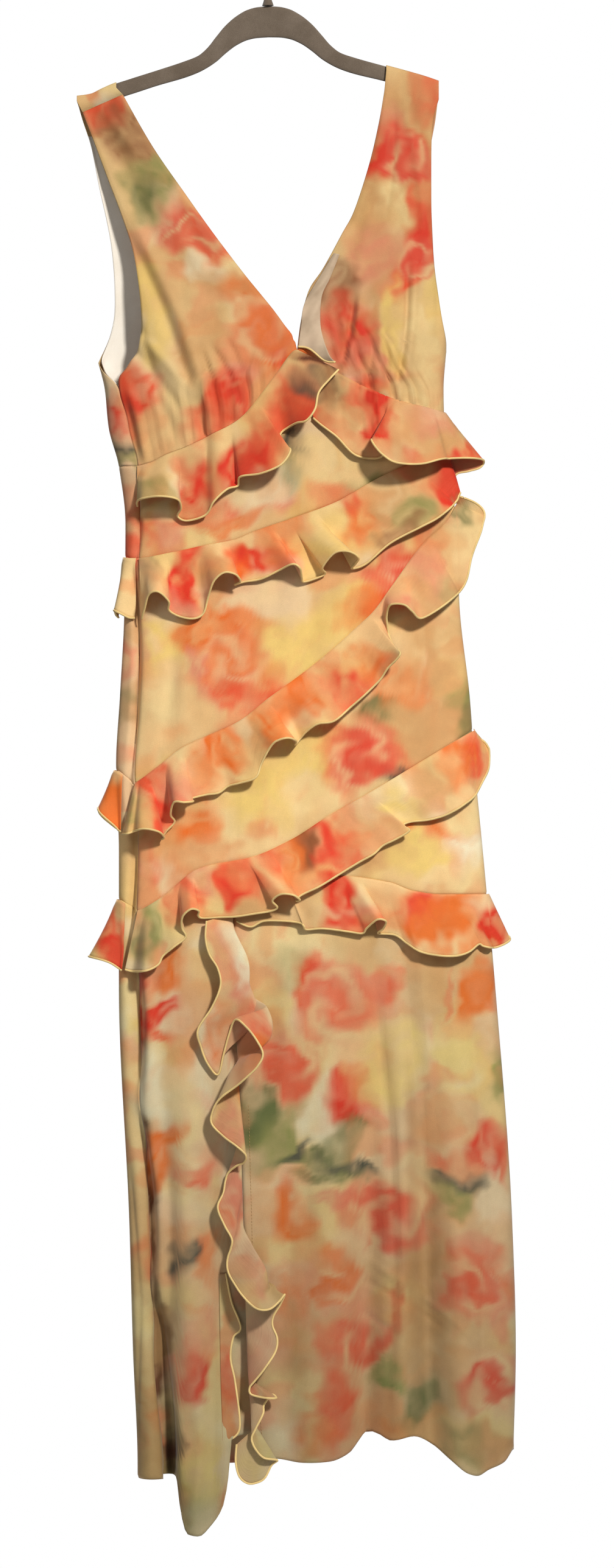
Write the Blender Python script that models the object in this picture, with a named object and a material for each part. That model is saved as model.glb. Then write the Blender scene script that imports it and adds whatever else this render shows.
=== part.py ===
"""Sleeveless maxi dress with slanted ruffle tiers and a front slit, on a slim flocked hanger.

Frame: metres, +Z up, +X to the right as the wearer's front is seen, the front faces -Y.
The origin is the inside top of the hanger's hook, where a rail carries it.

Every table below is in millimetres. x is measured from the hook's centre line, drop is measured
down from the origin, out is the distance that cloth stands off the dress under it.
A turn is an angle round the dress: 0 left edge, 90 front, 180 right edge, 270 back, 360 left edge.
"""
from collections import namedtuple
from math import acos, copysign, cos, degrees, exp, pi, radians, sin, sqrt

import bmesh
import bpy
from mathutils import Matrix, Vector

MM = 0.001

# Cloth walls and the clearances between them
PANEL_WALL = 1.6
RUFFLE_WALL = 1.0
SEAM_GAP = 0.36
SEAM_SLOPE_REACH = 2.0    # distance to each side over which a seam's slope is read
REST_GAP = 0.5
RUFFLE_LIFT = PANEL_WALL / 2 + REST_GAP + RUFFLE_WALL / 2
EDGE_LIFT, EDGE_LIFT_SHARPNESS = 2.0, 6
CLEAR_MORE = 0.4
CLEAR_SAMPLES = (-0.9, -0.6, -0.3, 0, 0.3, 0.6, 0.9)

# Round the dress
EDGE_POWER = 0.6          # below 1 the dress is flatter than an oval
EDGE_TURN = 0.95          # degrees of turn for each millimetre past the left or right edge
RIGHT_SEAM_TURN = 195.0   # the right side seam lies just behind the right edge
SIDE_CLEAR = 0.9          # degrees between the front and the back at a side seam
CENTRE_CLEAR = 0.25       # degrees from the middle of the V to each cup
UNDERARM = 470.0
UNDERARM_CORNER = 24.0    # below the underarm the armhole edge turns into the side seam
SLIT_SHARE = 0.254        # share of the front, from the left side seam, where the slit lies
NECK_SHARE = 0.438        # share of the front where the two cups meet
BACK_V_SHARE = 0.62       # share of the back, from the left side seam, where its V ends
LEVEL_TURN = 200.0        # up to here a seam runs on level round the right edge
NORMAL_TURN = 1.5         # degrees to either side from which the way out of the surface is read

Ring = namedtuple("Ring", "drop left right side_in front back")
RINGS = [Ring(*row) for row in (
    (150, -232, 226, 16, 6.4, 6.4),
    (210, -230, 222, 16, 8, 8),
    (300, -222, 208, 16, 15, 13),
    (400, -202, 200, 16, 23, 20),
    (490, -172, 189, 16, 29, 24),
    (530, -168, 190, 21, 30, 25),
    (572, -157, 194, 20, 30, 25),
    (634, -150, 203, 14, 29, 25),
    (720, -151, 206, 16, 30, 26),
    (819, -156, 217, 17, 33, 28),
    (889, -160, 222, 20, 35, 30),
    (984, -157, 231, 20, 36, 31),
    (1126, -157, 244, 18, 38, 32),
    (1374, -146, 262, 18, 42, 36),
    (1513, -142, 266, 20, 45, 38),
    (1640, -137, 263, 24, 47, 40),
    (1710, -137, 262, 24, 47, 40),
)]

# Slanted seams across the front: (x, drop) from the left side seam to the right side seam
SEAM_BUST = [(-156, 572), (-138, 572), (-124, 569), (-105, 560), (-86, 553), (-59, 540), (-34, 527),
             (-23, 518), (-8, 500), (12, 473), (33, 449), (54, 461), (77, 474), (110, 491),
             (138, 502), (174, 511), (200, 518)]
SEAM_WAIST = [(-151, 668), (-138, 670), (-99, 664), (-66, 657), (-34, 651), (-12, 642), (26, 629),
              (72, 612), (118, 586), (145, 573), (200, 550)]
SEAM_HIP_UPPER = [(-154, 916), (-140, 910), (-116, 893), (-92, 874), (-70, 863), (-29, 844),
                  (3, 819), (32, 798), (65, 772), (96, 744), (114, 727), (135, 698), (164, 658),
                  (192, 629), (205, 601)]
SEAM_HIP_MIDDLE = [(-154, 1048), (-136, 1045), (-117, 1035), (-98, 1020), (-75, 1002), (-56, 996),
                   (-18, 989), (26, 970), (70, 942), (99, 926), (146, 898), (194, 869), (222, 852)]
SEAM_HIP_LOWER = [(-154, 1056), (-136, 1053), (-89, 1036), (-24, 1019), (28, 1010), (75, 1008),
                  (131, 1015), (156, 1024), (187, 1028), (235, 1028)]
HEM_FRONT_LEFT = [(-154, 1649), (-136, 1646), (-128, 1652), (-115, 1645), (-96, 1648), (-90, 1684),
                  (-82, 1706), (-70, 1708), (-58, 1697), (-46, 1678), (-40, 1662)]
HEM_FRONT_RIGHT = [(-24, 1630), (8, 1626), (38, 1630), (68, 1628), (88, 1620), (100, 1606),
                   (108, 1597), (120, 1600), (132, 1606), (155, 1602), (179, 1613), (196, 1628),
                   (213, 1642), (224, 1645), (237, 1639), (253, 1632), (262, 1620)]

# Seams across the back, again from left to right
BACK_BUST = [(-160, 572), (30, 547), (200, 518)]
BACK_WAIST = [(-156, 670), (30, 632), (205, 601)]
BACK_HIP_UPPER = [(-180, 914), (-160, 896), (-60, 892), (120, 872), (222, 852)]
BACK_HIP_LOWER = [(-178, 1052), (-157, 1034), (40, 1036), (235, 1028)]
HEM_BACK = [(-137, 1649), (-60, 1640), (20, 1634), (64, 1632), (86, 1607), (172, 1605), (200, 1622),
            (262, 1622)]

# Where the two skirt fronts part at the slit: x of each edge
SlitRow = namedtuple("SlitRow", "drop left_edge right_edge")
Underlay = namedtuple("Underlay", "drop free_x")
UNDERLAY_CLEAR = 0.5
UNDERLAY_IN = 3.0
UNDERLAY_STEPS, UNDERLAY_COLUMNS = 8, 2
SLIT_UNDERLAY = [Underlay(*row) for row in (
    (1430, -43), (1460, -37), (1487, -27), (1498, -35), (1520, -38), (1546, -33), (1593, -28),
    (1607, -39),
)]
SLIT_OPENS = 60.0         # below the top of the slit, where its edges reach their own lines
SLIT_CLEAR = 0.12         # degrees from the middle of the slit to each edge
SLIT = [SlitRow(*row) for row in (
    (1028, -33, -33),
    (1080, -42, -36),
    (1240, -48, -28),
    (1440, -50, -22),
    (1530, -49, -19),
    (1640, -46, -10),
    (1710, -46, -6),
)]

# Soft relief of the body. Each cup is a low mound, each fold a long ridge (out > 0) or trough.
# It fades out towards the side edges, and each fold swells from its top and ends past its foot
RELIEF_FROM, RELIEF_FULL = 0.05, 0.3
FOLD_SWELLS, FOLD_ENDS = 0.625, 4 / 3
Cup = namedtuple("Cup", "x drop half_width half_height out")
CUPS = (Cup(-72, 462, 58, 72, 11), Cup(136, 432, 52, 72, 11))
Fold = namedtuple("Fold", "x_top x_foot top foot half_width out")
FRONT_FOLDS = [Fold(*row) for row in (
    (-134, -110, 1080, 1650, 13, -15),
    (-92, -74, 1120, 1700, 20, 8),
    (-58, -58, 1150, 1650, 9, -4),
    (30, 22, 1120, 1640, 18, -5),
    (78, 60, 1100, 1640, 20, 6),
    (112, 104, 1090, 1640, 15, -12),
    (142, 140, 1060, 1640, 17, 7),
    (168, 172, 1080, 1640, 14, -7),
    (196, 218, 1080, 1640, 18, 8),
    (40, 52, 500, 640, 22, 3),
    (60, 40, 660, 900, 26, -3),
    (-60, -90, 690, 900, 24, 3),
    (150, 120, 700, 900, 22, 3),
)]
BACK_FOLDS = [Fold(*row) for row in (
    (-90, -112, 1080, 1650, 20, -9),
    (-54, -66, 1100, 1650, 20, 6),
    (-18, -24, 1090, 1650, 18, -8),
    (18, 22, 1080, 1650, 20, 7),
    (62, 70, 1100, 1650, 18, -8),
    (104, 118, 1070, 1650, 21, 7),
    (150, 168, 1090, 1650, 18, -8),
    (190, 214, 1100, 1650, 19, 6),
    (-40, -20, 700, 900, 26, -3),
    (90, 120, 700, 900, 26, 3),
)]

# Bodice pieces: a row for each section from the strap down, its outer and its inner end
Section = namedtuple("Section", "outer_x outer_drop inner_x inner_drop")
CUP_LEFT = [Section(*row) for row in (
    (-196, 194, -153, 175),
    (-184, 225, -121, 231),
    (-168, 268, -86, 282),
    (-153, 308, -57, 323),
    (-141, 347, -24, 367),
    (-134, 394, 6, 404),
    (-133, 424, 20, 423),
    (-136, 447, 27, 432),
    (-147, 466, 29, 438),
    (-156, 484, 31, 441),
    (-148, 528, 32, 445),
    (-137, 572, 33, 449),
)]
CUP_RIGHT = [Section(*row) for row in (
    (184, 180, 126, 171),
    (177, 211, 120, 206),
    (176, 282, 110, 249),
    (177, 320, 94, 299),
    (179, 358, 81, 324),
    (183, 390, 61, 361),
    (187, 420, 47, 382),
    (192, 446, 40, 403),
    (197, 470, 36, 424),
    (197, 490, 34, 440),
    (197, 518, 33, 449),
)]
BACK_LEFT = [Section(*row) for row in (
    (-200, 188, -157, 178),
    (-196, 202, -144, 199),
    (-187, 230, -128, 231),
    (-179, 271, -103, 282),
    (-166, 334, -70, 334),
    (-162, 394, -24, 394),
    (-166, 427, 2, 427),
    (-178, 457, 18, 454),
    (-192, 484, 26, 470),
    (-190, 528, 28, 500),
    (-184, 572, 29, 547),
)]
BACK_RIGHT = [Section(*row) for row in (
    (183, 181, 128, 166),
    (180, 205, 122, 200),
    (172, 250, 108, 260),
    (166, 320, 92, 320),
    (168, 380, 68, 370),
    (175, 430, 46, 415),
    (181, 462, 34, 445),
    (182, 484, 30, 466),
    (183, 500, 29, 490),
    (184, 518, 29, 547),
)]
GATHERS = 3               # gathers along the foot of each cup
GATHER_OUT = 1.8
GATHERS_FROM = 0.55       # share of the way down a cup where they begin
GATHERS_GROW, GATHERS_END = 0.12, 0.06
SPREAD_FROM = 0.5         # share of the way down where the columns start to spread to the seam's
LINING_REACH = 4          # columns of the left back that its lining covers, from the armhole
LINING_FROM = 2           # rows below the strap's top where the lining starts

# The straps hang over the hanger's arms. Each crest is (x, drop) of the strap's top line
CREST_LEFT = [(-202, 176), (-188, 174), (-176, 168.4), (-164, 163.1), (-146, 157)]
CREST_RIGHT = [(123, 142.1), (153, 150.2), (171, 155.5), (184, 160)]
Strap = namedtuple("Strap", "crest outer_x inner_x")
STRAP_LEFT = Strap(CREST_LEFT, -202, -160)
STRAP_RIGHT = Strap(CREST_RIGHT, 184, 128)
Arch = namedtuple("Arch", "across below")
STRAP_ARCH = [Arch(-1, 6), Arch(-0.8, 1.3), Arch(-0.3, 0), Arch(0.3, 0), Arch(0.8, 1.3), Arch(1, 6)]

# Facing that rolls out of the right neck edge: its left edge, then its free edge
FACING_PUFF = 2.0
FACING_ACROSS = (0.0, 0.35, 0.7, 1.0)
Facing = namedtuple("Facing", "edge_x edge_drop free_x free_drop")
NECK_FACING = [Facing(*row) for row in (
    (72, 346, 78, 347),
    (60, 366, 68, 372),
    (41, 399, 59, 393),
    (37, 424, 58, 425),
    (35, 439, 66, 454),
    (34, 446, 73, 463),
)]

# Ruffles: a row for each crest and trough of the hem, set to the seam at seam_x
Wave = namedtuple("Wave", "seam_x hem_x hem_drop out")
CASCADE_POWER = 0.8
FLARE_POWER = 1.25        # a ruffle falls straight at its seam and swings out towards its hem
RUFFLE_BUST_LEFT = [Wave(*row) for row in (
    (-137, -137, 615, 8), (-132, -135, 609, 20), (-116, -114, 606, 30), (-102, -94, 609, 26),
    (-95, -90, 618, 15), (-88, -94, 626, 5.5), (-80, -84, 631, 6), (-67, -64, 625, 9),
    (-57, -55, 611, 16), (-47, -41, 598, 14), (-40, -30, 594, 6), (-34, -27, 585, 16),
    (-25, -5, 582, 26), (-18, 16, 573, 30), (-12, 26, 558, 26), (-8, 20, 553, 15),
    (-4, 14, 547, 8), (3, 16, 538, 5), (10, 24, 532, 8), (16, 33, 528, 18), (20, 43, 526, 26),
    (24, 52, 514, 28), (28, 56, 496, 24), (31, 67, 482, 18), (33, 77, 471, 12),
)]
RUFFLE_BUST_RIGHT = [Wave(*row) for row in (
    (45, 50, 522, 5), (56, 58, 529, 6), (70, 75, 542, 8), (88, 94, 561, 8),
    (106, 114, 565, 6), (118, 124, 562, 6), (128, 123, 556, 13), (135, 112, 546, 24),
    (141, 115, 553, 34), (147, 124, 563, 37), (155, 138, 571, 38), (166, 164, 572, 36),
    (175, 187, 566, 32), (183, 207, 564, 26), (188, 223, 564, 18), (192, 232, 566, 8),
    (194, 228, 573, -4), (197, 215, 577, -10), (200, 203, 580, -14),
)]
RUFFLE_WAIST = [Wave(*row) for row in (
    (-135, -132, 735, 5), (-131, -129, 725, 12), (-124, -124, 710, 24), (-115, -114, 707, 28),
    (-107, -103, 717, 22), (-102, -103, 726, 12), (-94, -91, 733, 7), (-85, -76, 735, 8),
    (-77, -66, 729, 8), (-71, -61, 712, 14), (-63, -55, 696, 24), (-55, -44, 687, 28),
    (-47, -32, 689, 26), (-42, -27, 696, 18), (-38, -33, 699, 8), (-32, -23, 696, 5),
    (-21, -5, 693, 7), (-11, 14, 684, 14), (-3, 28, 678, 24), (2, 36, 682, 24),
    (6, 38, 691, 14), (10, 40, 696, 6), (16, 54, 692, 5), (20, 63, 687, 6),
    (24, 60, 681, 18), (32, 73, 666, 28), (41, 88, 665, 30), (46, 98, 671, 25),
    (51, 95, 677, 14), (57, 91, 682, 5.5), (64, 106, 677, 7), (80, 132, 655, 10),
    (99, 164, 638, 14), (119, 181, 629, 16), (138, 195, 618, 18), (160, 202, 610, 14),
    (174, 204, 607, 13), (184, 205, 604, 12), (190, 206, 602, 11), (194, 207, 600, 10),
)]
RUFFLE_HIP_UPPER = [Wave(*row) for row in (
    (-139, -153, 964, 11), (-136, -146, 963, 22), (-131, -130, 958, 28), (-127, -114, 961, 24),
    (-123, -108, 967, 12), (-120, -111, 969, 6), (-116, -106, 961, 5), (-111, -97, 951, 6),
    (-107, -101, 943, 14), (-102, -97, 930, 26), (-94, -86, 930, 28), (-89, -77, 929, 20),
    (-85, -79, 926, 12), (-75, -63, 922, 8), (-64, -50, 920, 8), (-57, -40, 913, 7),
    (-50, -29, 910, 12), (-41, -11, 904, 16), (-33, -5, 890, 14), (-25, 2, 876, 18),
    (-18, 10, 866, 26), (-8, 23, 862, 30), (-1, 32, 865, 24), (3, 31, 869, 12),
    (12, 36, 863, 6), (20, 43, 855, 12), (29, 55, 847, 20), (41, 72, 844, 20),
    (54, 90, 829, 14), (70, 106, 815, 12), (85, 121, 800, 12), (96, 129, 788, 18),
    (103, 138, 779, 24), (109, 142, 772, 26), (112, 136, 765, 15), (116, 131, 755, 5),
    (119, 129, 744, 5), (123, 128, 732, 10), (128, 132, 721, 22), (135, 146, 721, 30),
    (142, 155, 728, 28), (150, 164, 735, 22), (161, 183, 725, 20), (171, 203, 709, 18),
    (181, 213, 694, 16), (189, 219, 668, 12), (196, 228, 644, 8), (199, 231, 633, 5),
    (201, 233, 623, 2), (204, 229, 615, -6), (207, 218, 608, -12),
)]
RUFFLE_HIP_MIDDLE = [Wave(*row) for row in (
    (-136, -150, 1108, 10), (-131, -141, 1110, 16), (-124, -125, 1108, 16), (-118, -114, 1102, 12),
    (-111, -109, 1093, 10), (-105, -97, 1083, 12), (-98, -85, 1073, 10), (-94, -89, 1063, 14),
    (-90, -88, 1051, 22), (-85, -79, 1043, 26), (-80, -71, 1045, 20), (-76, -72, 1050, 10),
    (-71, -67, 1053, 6), (-60, -49, 1052, 9), (-49, -31, 1051, 13), (-38, -12, 1048, 15),
    (-28, 6, 1045, 16), (-23, 12, 1041, 19), (-19, 7, 1034, 25), (-12, 16, 1027, 32),
    (-5, 29, 1028, 32), (2, 36, 1033, 27), (6, 32, 1034, 19), (11, 38, 1028, 15),
    (23, 57, 1019, 13), (40, 75, 1008, 11), (60, 98, 994, 9), (77, 114, 985, 9),
    (88, 124, 976, 8), (99, 138, 969, 10), (107, 152, 960, 14), (111, 145, 955, 8),
    (115, 153, 951, 5), (127, 171, 949, 7), (142, 187, 945, 9), (158, 200, 939, 11),
    (174, 211, 932, 12), (187, 222, 923, 12), (198, 230, 909, 10), (207, 237, 894, 6),
    (214, 238, 876, 0), (218, 236, 870, -4), (220, 233, 866, -8), (224, 226, 861, -12),
)]
RUFFLE_HIP_LOWER = [Wave(*row) for row in (
    (-34, -31, 1056, 3.5), (-28, -24, 1060, 4), (-21, -15, 1062, 5), (-11, -2, 1056, 6),
    (5, 21, 1056, 6), (16, 36, 1058, 7), (21, 40, 1061, 10), (25, 43, 1065, 6),
    (41, 61, 1064, 6), (60, 86, 1067, 7), (75, 102, 1069, 8), (81, 107, 1063, 14),
    (89, 118, 1054, 24), (97, 127, 1056, 22), (101, 124, 1064, 13), (106, 119, 1069, 5),
    (116, 137, 1071, 6), (128, 150, 1080, 10), (140, 163, 1088, 14), (155, 180, 1092, 16),
    (171, 200, 1093, 16), (185, 215, 1089, 14), (196, 226, 1081, 8), (203, 231, 1083, 9),
    (215, 242, 1085, 15), (226, 252, 1082, 12), (233, 259, 1078, 5), (236, 260, 1075, 0),
    (239, 257, 1072, -6),
)]

# The slit cascade: a row for each turn of its hem
CASCADE_TOP = 1047.0      # where its seam starts
CASCADE_STEP = 1.3        # least distance along the seam from row to row
CASCADE_HANG = 15.0       # least height of a row
CASCADE_LEAN, CASCADE_SMOOTH = 0.25, 8
CASCADE_PAST = 0.95       # two rows whose lines meet past this share of the width may do so
Cascade = namedtuple("Cascade", "hem_x hem_drop out")
RUFFLE_SLIT = [Cascade(*row) for row in (
    (-63, 1056, 8), (-64, 1074, 12), (-60, 1091, 12), (-51, 1106, 14),
    (-48, 1124, 15), (-57, 1147, 17), (-72, 1171, 16), (-69, 1189, 10),
    (-62, 1207, 7), (-51, 1219, 5), (-45, 1203, 6), (-38, 1192, 12),
    (-26, 1191, 22), (-14, 1195, 30), (-6, 1202, 35), (-8, 1211, 36), (-18, 1220, 32),
    (-30, 1229, 26), (-49, 1244, 20), (-57, 1259, 16), (-57, 1271, 16),
    (-44, 1284, 20), (-30, 1294, 24), (-21, 1303, 24), (-23, 1311, 16),
    (-31, 1315, 11), (-40, 1323, 5), (-43, 1332, 4), (-45, 1344, 8),
    (-51, 1359, 14), (-44, 1377, 16), (-36, 1392, 16), (-37, 1402, 13),
    (-40, 1411, 12), (-41, 1420, 13), (-39, 1429, 16), (-33, 1439, 22),
    (-25, 1450, 28), (-14, 1461, 32), (-5, 1465, 34), (7, 1467, 34),
    (18, 1468, 30), (14, 1474, 14), (7, 1483, 12), (12, 1497, 18),
    (10, 1511, 20), (-1, 1528, 20), (-11, 1541, 16), (-17, 1549, 13),
    (-16, 1556, 12), (-6, 1559, 14), (5, 1560, 18), (11, 1560, 16), (6, 1557, 10),
    (-2, 1568, 8), (-3, 1577, 12), (-11, 1593, 14), (-15, 1603, 14),
    (-11, 1614, 14), (-2, 1623, 16), (12, 1626, 14), (6, 1632, 8),
    (2, 1641, 8), (-8, 1650, 8), (-21, 1650, 8),
)]

# Back ruffles run round from the left side seam to the right one, with even flutes
# first is the share where a crest stands, lift the share of the height that a crest rides up
BackRuffle = namedtuple("BackRuffle", "seam flutes height crest trough start first lift")
BACK_RUFFLE_WAIST = BackRuffle(BACK_WAIST, 9, 64, 16, 5, 0.015, 0.182, 0.16)
BACK_RUFFLE_HIP_UPPER = BackRuffle(BACK_HIP_UPPER, 9, 62, 24, 5, 0.05, 0.127, 0.36)
BACK_RUFFLE_HIP_LOWER = BackRuffle(BACK_HIP_LOWER, 9, 72, 26, 5, 0.05, 0.127, 0.16)
FLUTE_SWING = 1.6         # degrees that a flute's sides lean over
FLUTE_END = 0.015         # share of the round left free at the right side seam
FLUTE_FLAT, FLUTE_GROWS = 0.03, 0.07
FLUTE_UNEVEN, FLUTE_BEAT = 0.2, 1.7

# Hanger: half of its outline, from the hook out to the end of an arm
Half = namedtuple("Half", "x top bottom")
HANGER_OUTLINE = [Half(*row) for row in (
    (0, 80, 113.5), (12, 81, 114), (22, 83.5, 115.8), (34, 90, 121), (46, 100, 129.5),
    (56, 111.5, 138), (66, 123.5, 144.5), (76, 131.5, 149.5), (90, 136.8, 154.5),
    (120, 146, 162.5), (150, 154.8, 171.5), (168, 160.5, 176), (174, 164, 174.5),
)]
HANGER_THICK = 5.0
HANGER_ROUND = 1.5
HANGER_TILT = 1.3         # degrees, its left arm hangs lower
HOOK_WIRE = 3.6
HOOK_INSIDE = 19.0
HOOK_SHANK = [(0, -79), (0, -68), (0, -57), (3.5, -48), (9, -40.5)]
HOOK_FIRST, HOOK_LAST, HOOK_STEPS = -52.0, 205.0, 22
HOOK_SIDES = 10
COLLAR_SIDES = 14
COLLAR_OUTSIDE = [(3.4, -70.5), (4.2, -73.5), (6.2, -79.6)]
COLLAR_BORE = 2.2

# How finely the solids are cut
COLUMNS_TO_SLIT, COLUMNS_TO_NECK, COLUMNS_TO_SIDE = 6, 4, 13
BACK_COLUMNS_LEFT, BACK_COLUMNS_RIGHT = 8, 7
CUP_LEFT_STEPS, CUP_RIGHT_STEPS, BACK_STEPS = 15, 14, 12
SKIRT_STEPS = 10
WAVE_STEPS = 1
FLUTE_STEPS = 6
RUFFLE_ROWS = 3
BACK_RUFFLE_ROWS = 2
SEAM_STEPS = 8            # rounds of reading a seam's table until its drop settles
HEM_STEPS = 4             # the same for a skirt's hem
FACING_STEPS = 8


def between(rows, key):
    """Row of a table at a key of its first column, on a smooth curve that never overshoots."""
    if key <= rows[0][0]:
        return rows[0]
    if key >= rows[-1][0]:
        return rows[-1]
    low = max(i for i, row in enumerate(rows) if row[0] <= key)
    start, end = rows[low], rows[low + 1]
    span = end[0] - start[0]
    t = (key - start[0]) / span
    values = [key]
    for column in range(1, len(start)):
        first = slope(rows, low, column) * span
        last = slope(rows, low + 1, column) * span
        values.append((2 * t**3 - 3 * t**2 + 1) * start[column] + (t**3 - 2 * t**2 + t) * first
                      + (3 * t**2 - 2 * t**3) * end[column] + (t**3 - t**2) * last)
    return type(start)(*values) if hasattr(start, "_fields") else tuple(values)


def slope(rows, i, column):
    """Slope of a column at row i: the harmonic mean of its neighbours' slopes."""
    def chord(a, b):
        return (rows[b][column] - rows[a][column]) / (rows[b][0] - rows[a][0])
    if i == 0:
        return chord(0, 1)
    if i == len(rows) - 1:
        return chord(i - 1, i)
    before, after = chord(i - 1, i), chord(i, i + 1)
    if before * after <= 0:
        return 0.0
    return 2 * before * after / (before + after)


def along(rows, t):
    """Values of all columns at a place t along a table, 0 at its first row and 1 at its last."""
    place = min(max(t, 0.0), 1.0) * (len(rows) - 1)
    i = min(int(place), len(rows) - 2)
    s = place - i
    p0, p1 = rows[max(i - 1, 0)], rows[i]
    p2, p3 = rows[i + 1], rows[min(i + 2, len(rows) - 1)]
    return [0.5 * (2 * b + (c - a) * s + (2 * a - 5 * b + 4 * c - d) * s**2
                   + (3 * b - a - 3 * c + d) * s**3)
            for a, b, c, d in zip(p0, p1, p2, p3)]


def mix(a, b, t):
    return a + (b - a) * t


def evenly(start, end, steps):
    return [mix(start, end, i / steps) for i in range(steps + 1)]


def ease(t):
    t = min(max(t, 0.0), 1.0)
    return t * t * (3 - 2 * t)


def hill(distance):
    """A smooth hump, 1 at distance 0 and gone by about 2."""
    return exp(-distance * distance)


def front_turn(x, drop):
    """Turn of the place x on the front. Past an edge, x runs on round the side."""
    ring = between(RINGS, drop)
    if x < ring.left:
        return -(ring.left - x) * EDGE_TURN
    if x > ring.right:
        return 180 + (x - ring.right) * EDGE_TURN
    middle, half = (ring.left + ring.right) / 2, (ring.right - ring.left) / 2
    return degrees(acos((middle - x) / half))


def back_turn(x, drop):
    return 360 - front_turn(x, drop)


def left_seam_turn(drop):
    ring = between(RINGS, drop)
    return front_turn(ring.left + ring.side_in, drop)


def flat_place(turn, drop):
    """x and y of the dress before its folds."""
    ring = between(RINGS, drop)
    middle, half = (ring.left + ring.right) / 2, (ring.right - ring.left) / 2
    level = sin(radians(turn))
    depth = ring.front if level > 0 else ring.back
    return middle - half * cos(radians(turn)), -copysign(depth * abs(level) ** EDGE_POWER, level)


def relief(x, turn, drop):
    """How far cups and folds stand out of the plain shape."""
    level = sin(radians(turn))
    if abs(level) <= RELIEF_FROM:
        return 0.0
    out = 0.0
    if level > 0:
        for cup in CUPS:
            across, down = (x - cup.x) / cup.half_width, (drop - cup.drop) / cup.half_height
            out += cup.out * hill(across) * hill(down)
    for fold in FRONT_FOLDS if level > 0 else BACK_FOLDS:
        t = (drop - fold.top) / (fold.foot - fold.top)
        middle = mix(fold.x_top, fold.x_foot, t)
        swell = ease(t / FOLD_SWELLS) * ease((FOLD_ENDS - t) / (FOLD_ENDS - 1))
        out += fold.out * swell * hill((x - middle) / fold.half_width)
    return out * ease((abs(level) - RELIEF_FROM) / (RELIEF_FULL - RELIEF_FROM))


def body(turn, drop, out=0.0):
    """A point on the dress, moved out of its surface."""
    x, y = flat_place(turn, drop)
    ahead, behind = flat_place(turn + NORMAL_TURN, drop), flat_place(turn - NORMAL_TURN, drop)
    outward = Vector((ahead[1] - behind[1], behind[0] - ahead[0])).normalized()
    total = out + relief(x, turn, drop)
    return Vector((x + outward.x * total, y + outward.y * total, -drop)) * MM


def front_y(x, drop):
    """y of the front surface at x, or of the side edge beyond it."""
    ring = between(RINGS, drop)
    if not ring.left < x < ring.right:
        return 0.0
    turn = front_turn(x, drop)
    return flat_place(turn, drop)[1] - relief(x, turn, drop)


def seam_x(turn, drop):
    """x where a seam's table is read: past the right edge a seam runs on level.

    The strip of the back between the left edge and the side seam is unrolled to the left.
    """
    if turn > 360:
        return 2 * flat_place(360, drop)[0] - flat_place(turn, drop)[0]
    return flat_place(180 if 180 < turn < LEVEL_TURN else turn, drop)[0]


def seam_place(share, seam):
    """Turn and drop where a front seam crosses a column. A share runs from side seam to side seam."""
    drop = seam[len(seam) // 2][1]
    for _ in range(SEAM_STEPS):
        turn = mix(left_seam_turn(drop), RIGHT_SEAM_TURN, share)
        drop = between(seam, seam_x(turn, drop))[1]
    return turn, drop


def back_seam_place(share, seam):
    """The same on the back, where a share runs from the left side seam round to the right one."""
    drop = seam[1][1]
    for _ in range(SEAM_STEPS):
        turn = mix(left_back_turn(drop), right_back_turn(drop), share)
        drop = between(seam, seam_x(turn, drop))[1]
    return turn, drop


def half_gap(turn, drop, seam):
    """Half of the gap at a seam, measured straight down, wider where the seam is steep."""
    x = seam_x(turn, drop)
    after, before = between(seam, x + SEAM_SLOPE_REACH), between(seam, x - SEAM_SLOPE_REACH)
    rise = (after[1] - before[1]) / (2 * SEAM_SLOPE_REACH)
    return SEAM_GAP / 2 * sqrt(1 + rise * rise)


def right_seam_turn(_drop):
    return RIGHT_SEAM_TURN


def left_back_turn(drop):
    return 360 + left_seam_turn(drop) - SIDE_CLEAR


def right_back_turn(_drop):
    return RIGHT_SEAM_TURN + SIDE_CLEAR


def material(name, colour, roughness, metallic=0.0):
    made = bpy.data.materials.new(name)
    made.use_nodes = True
    shader = made.node_tree.nodes["Principled BSDF"]
    shader.inputs["Base Color"].default_value = (*colour, 1.0)
    shader.inputs["Roughness"].default_value = roughness
    shader.inputs["Metallic"].default_value = metallic
    return made


def solid(name, points, faces, finish):
    mesh = bpy.data.meshes.new(name)
    mesh.from_pydata(points, [], faces)
    mesh.materials.append(finish)
    piece = bpy.data.objects.new(name, mesh)
    bpy.context.collection.objects.link(piece)
    return piece


def grid_faces(rows, columns):
    return [(j * columns + i, j * columns + i + 1, (j + 1) * columns + i + 1, (j + 1) * columns + i)
            for j in range(rows - 1) for i in range(columns - 1)]


def cloth(name, rows, wall, finish):
    """A wall of cloth through rows of points."""
    points = [point for row in rows for point in row]
    piece = solid(name, points, grid_faces(len(rows), len(rows[0])), finish)
    piece.data.shade_smooth()
    thicken = piece.modifiers.new("wall", "SOLIDIFY")
    thicken.thickness = wall * MM
    thicken.offset = 0.0
    return piece


def panel(name, top, bottom, steps, finish, columns, place, left_turn, right_turn):
    """A panel between two slanted seams, from side seam to side seam."""
    uppers = [place(share, top) for share in columns]
    lowers = [place(share, bottom) for share in columns]
    rows = []
    for j in range(steps + 1):
        row = []
        for share, upper, lower in zip(columns, uppers, lowers):
            first = upper[1] + half_gap(*upper, top)
            last = lower[1] - half_gap(*lower, bottom)
            drop = mix(first, last, j / steps)
            row.append(body(mix(left_turn(drop), right_turn(drop), share), drop))
        rows.append(row)
    return cloth(name, rows, PANEL_WALL, finish)


def front_panel(name, top, bottom, steps, finish):
    return panel(name, top, bottom, steps, finish, FRONT_COLUMNS, seam_place, left_seam_turn,
                 right_seam_turn)


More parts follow.
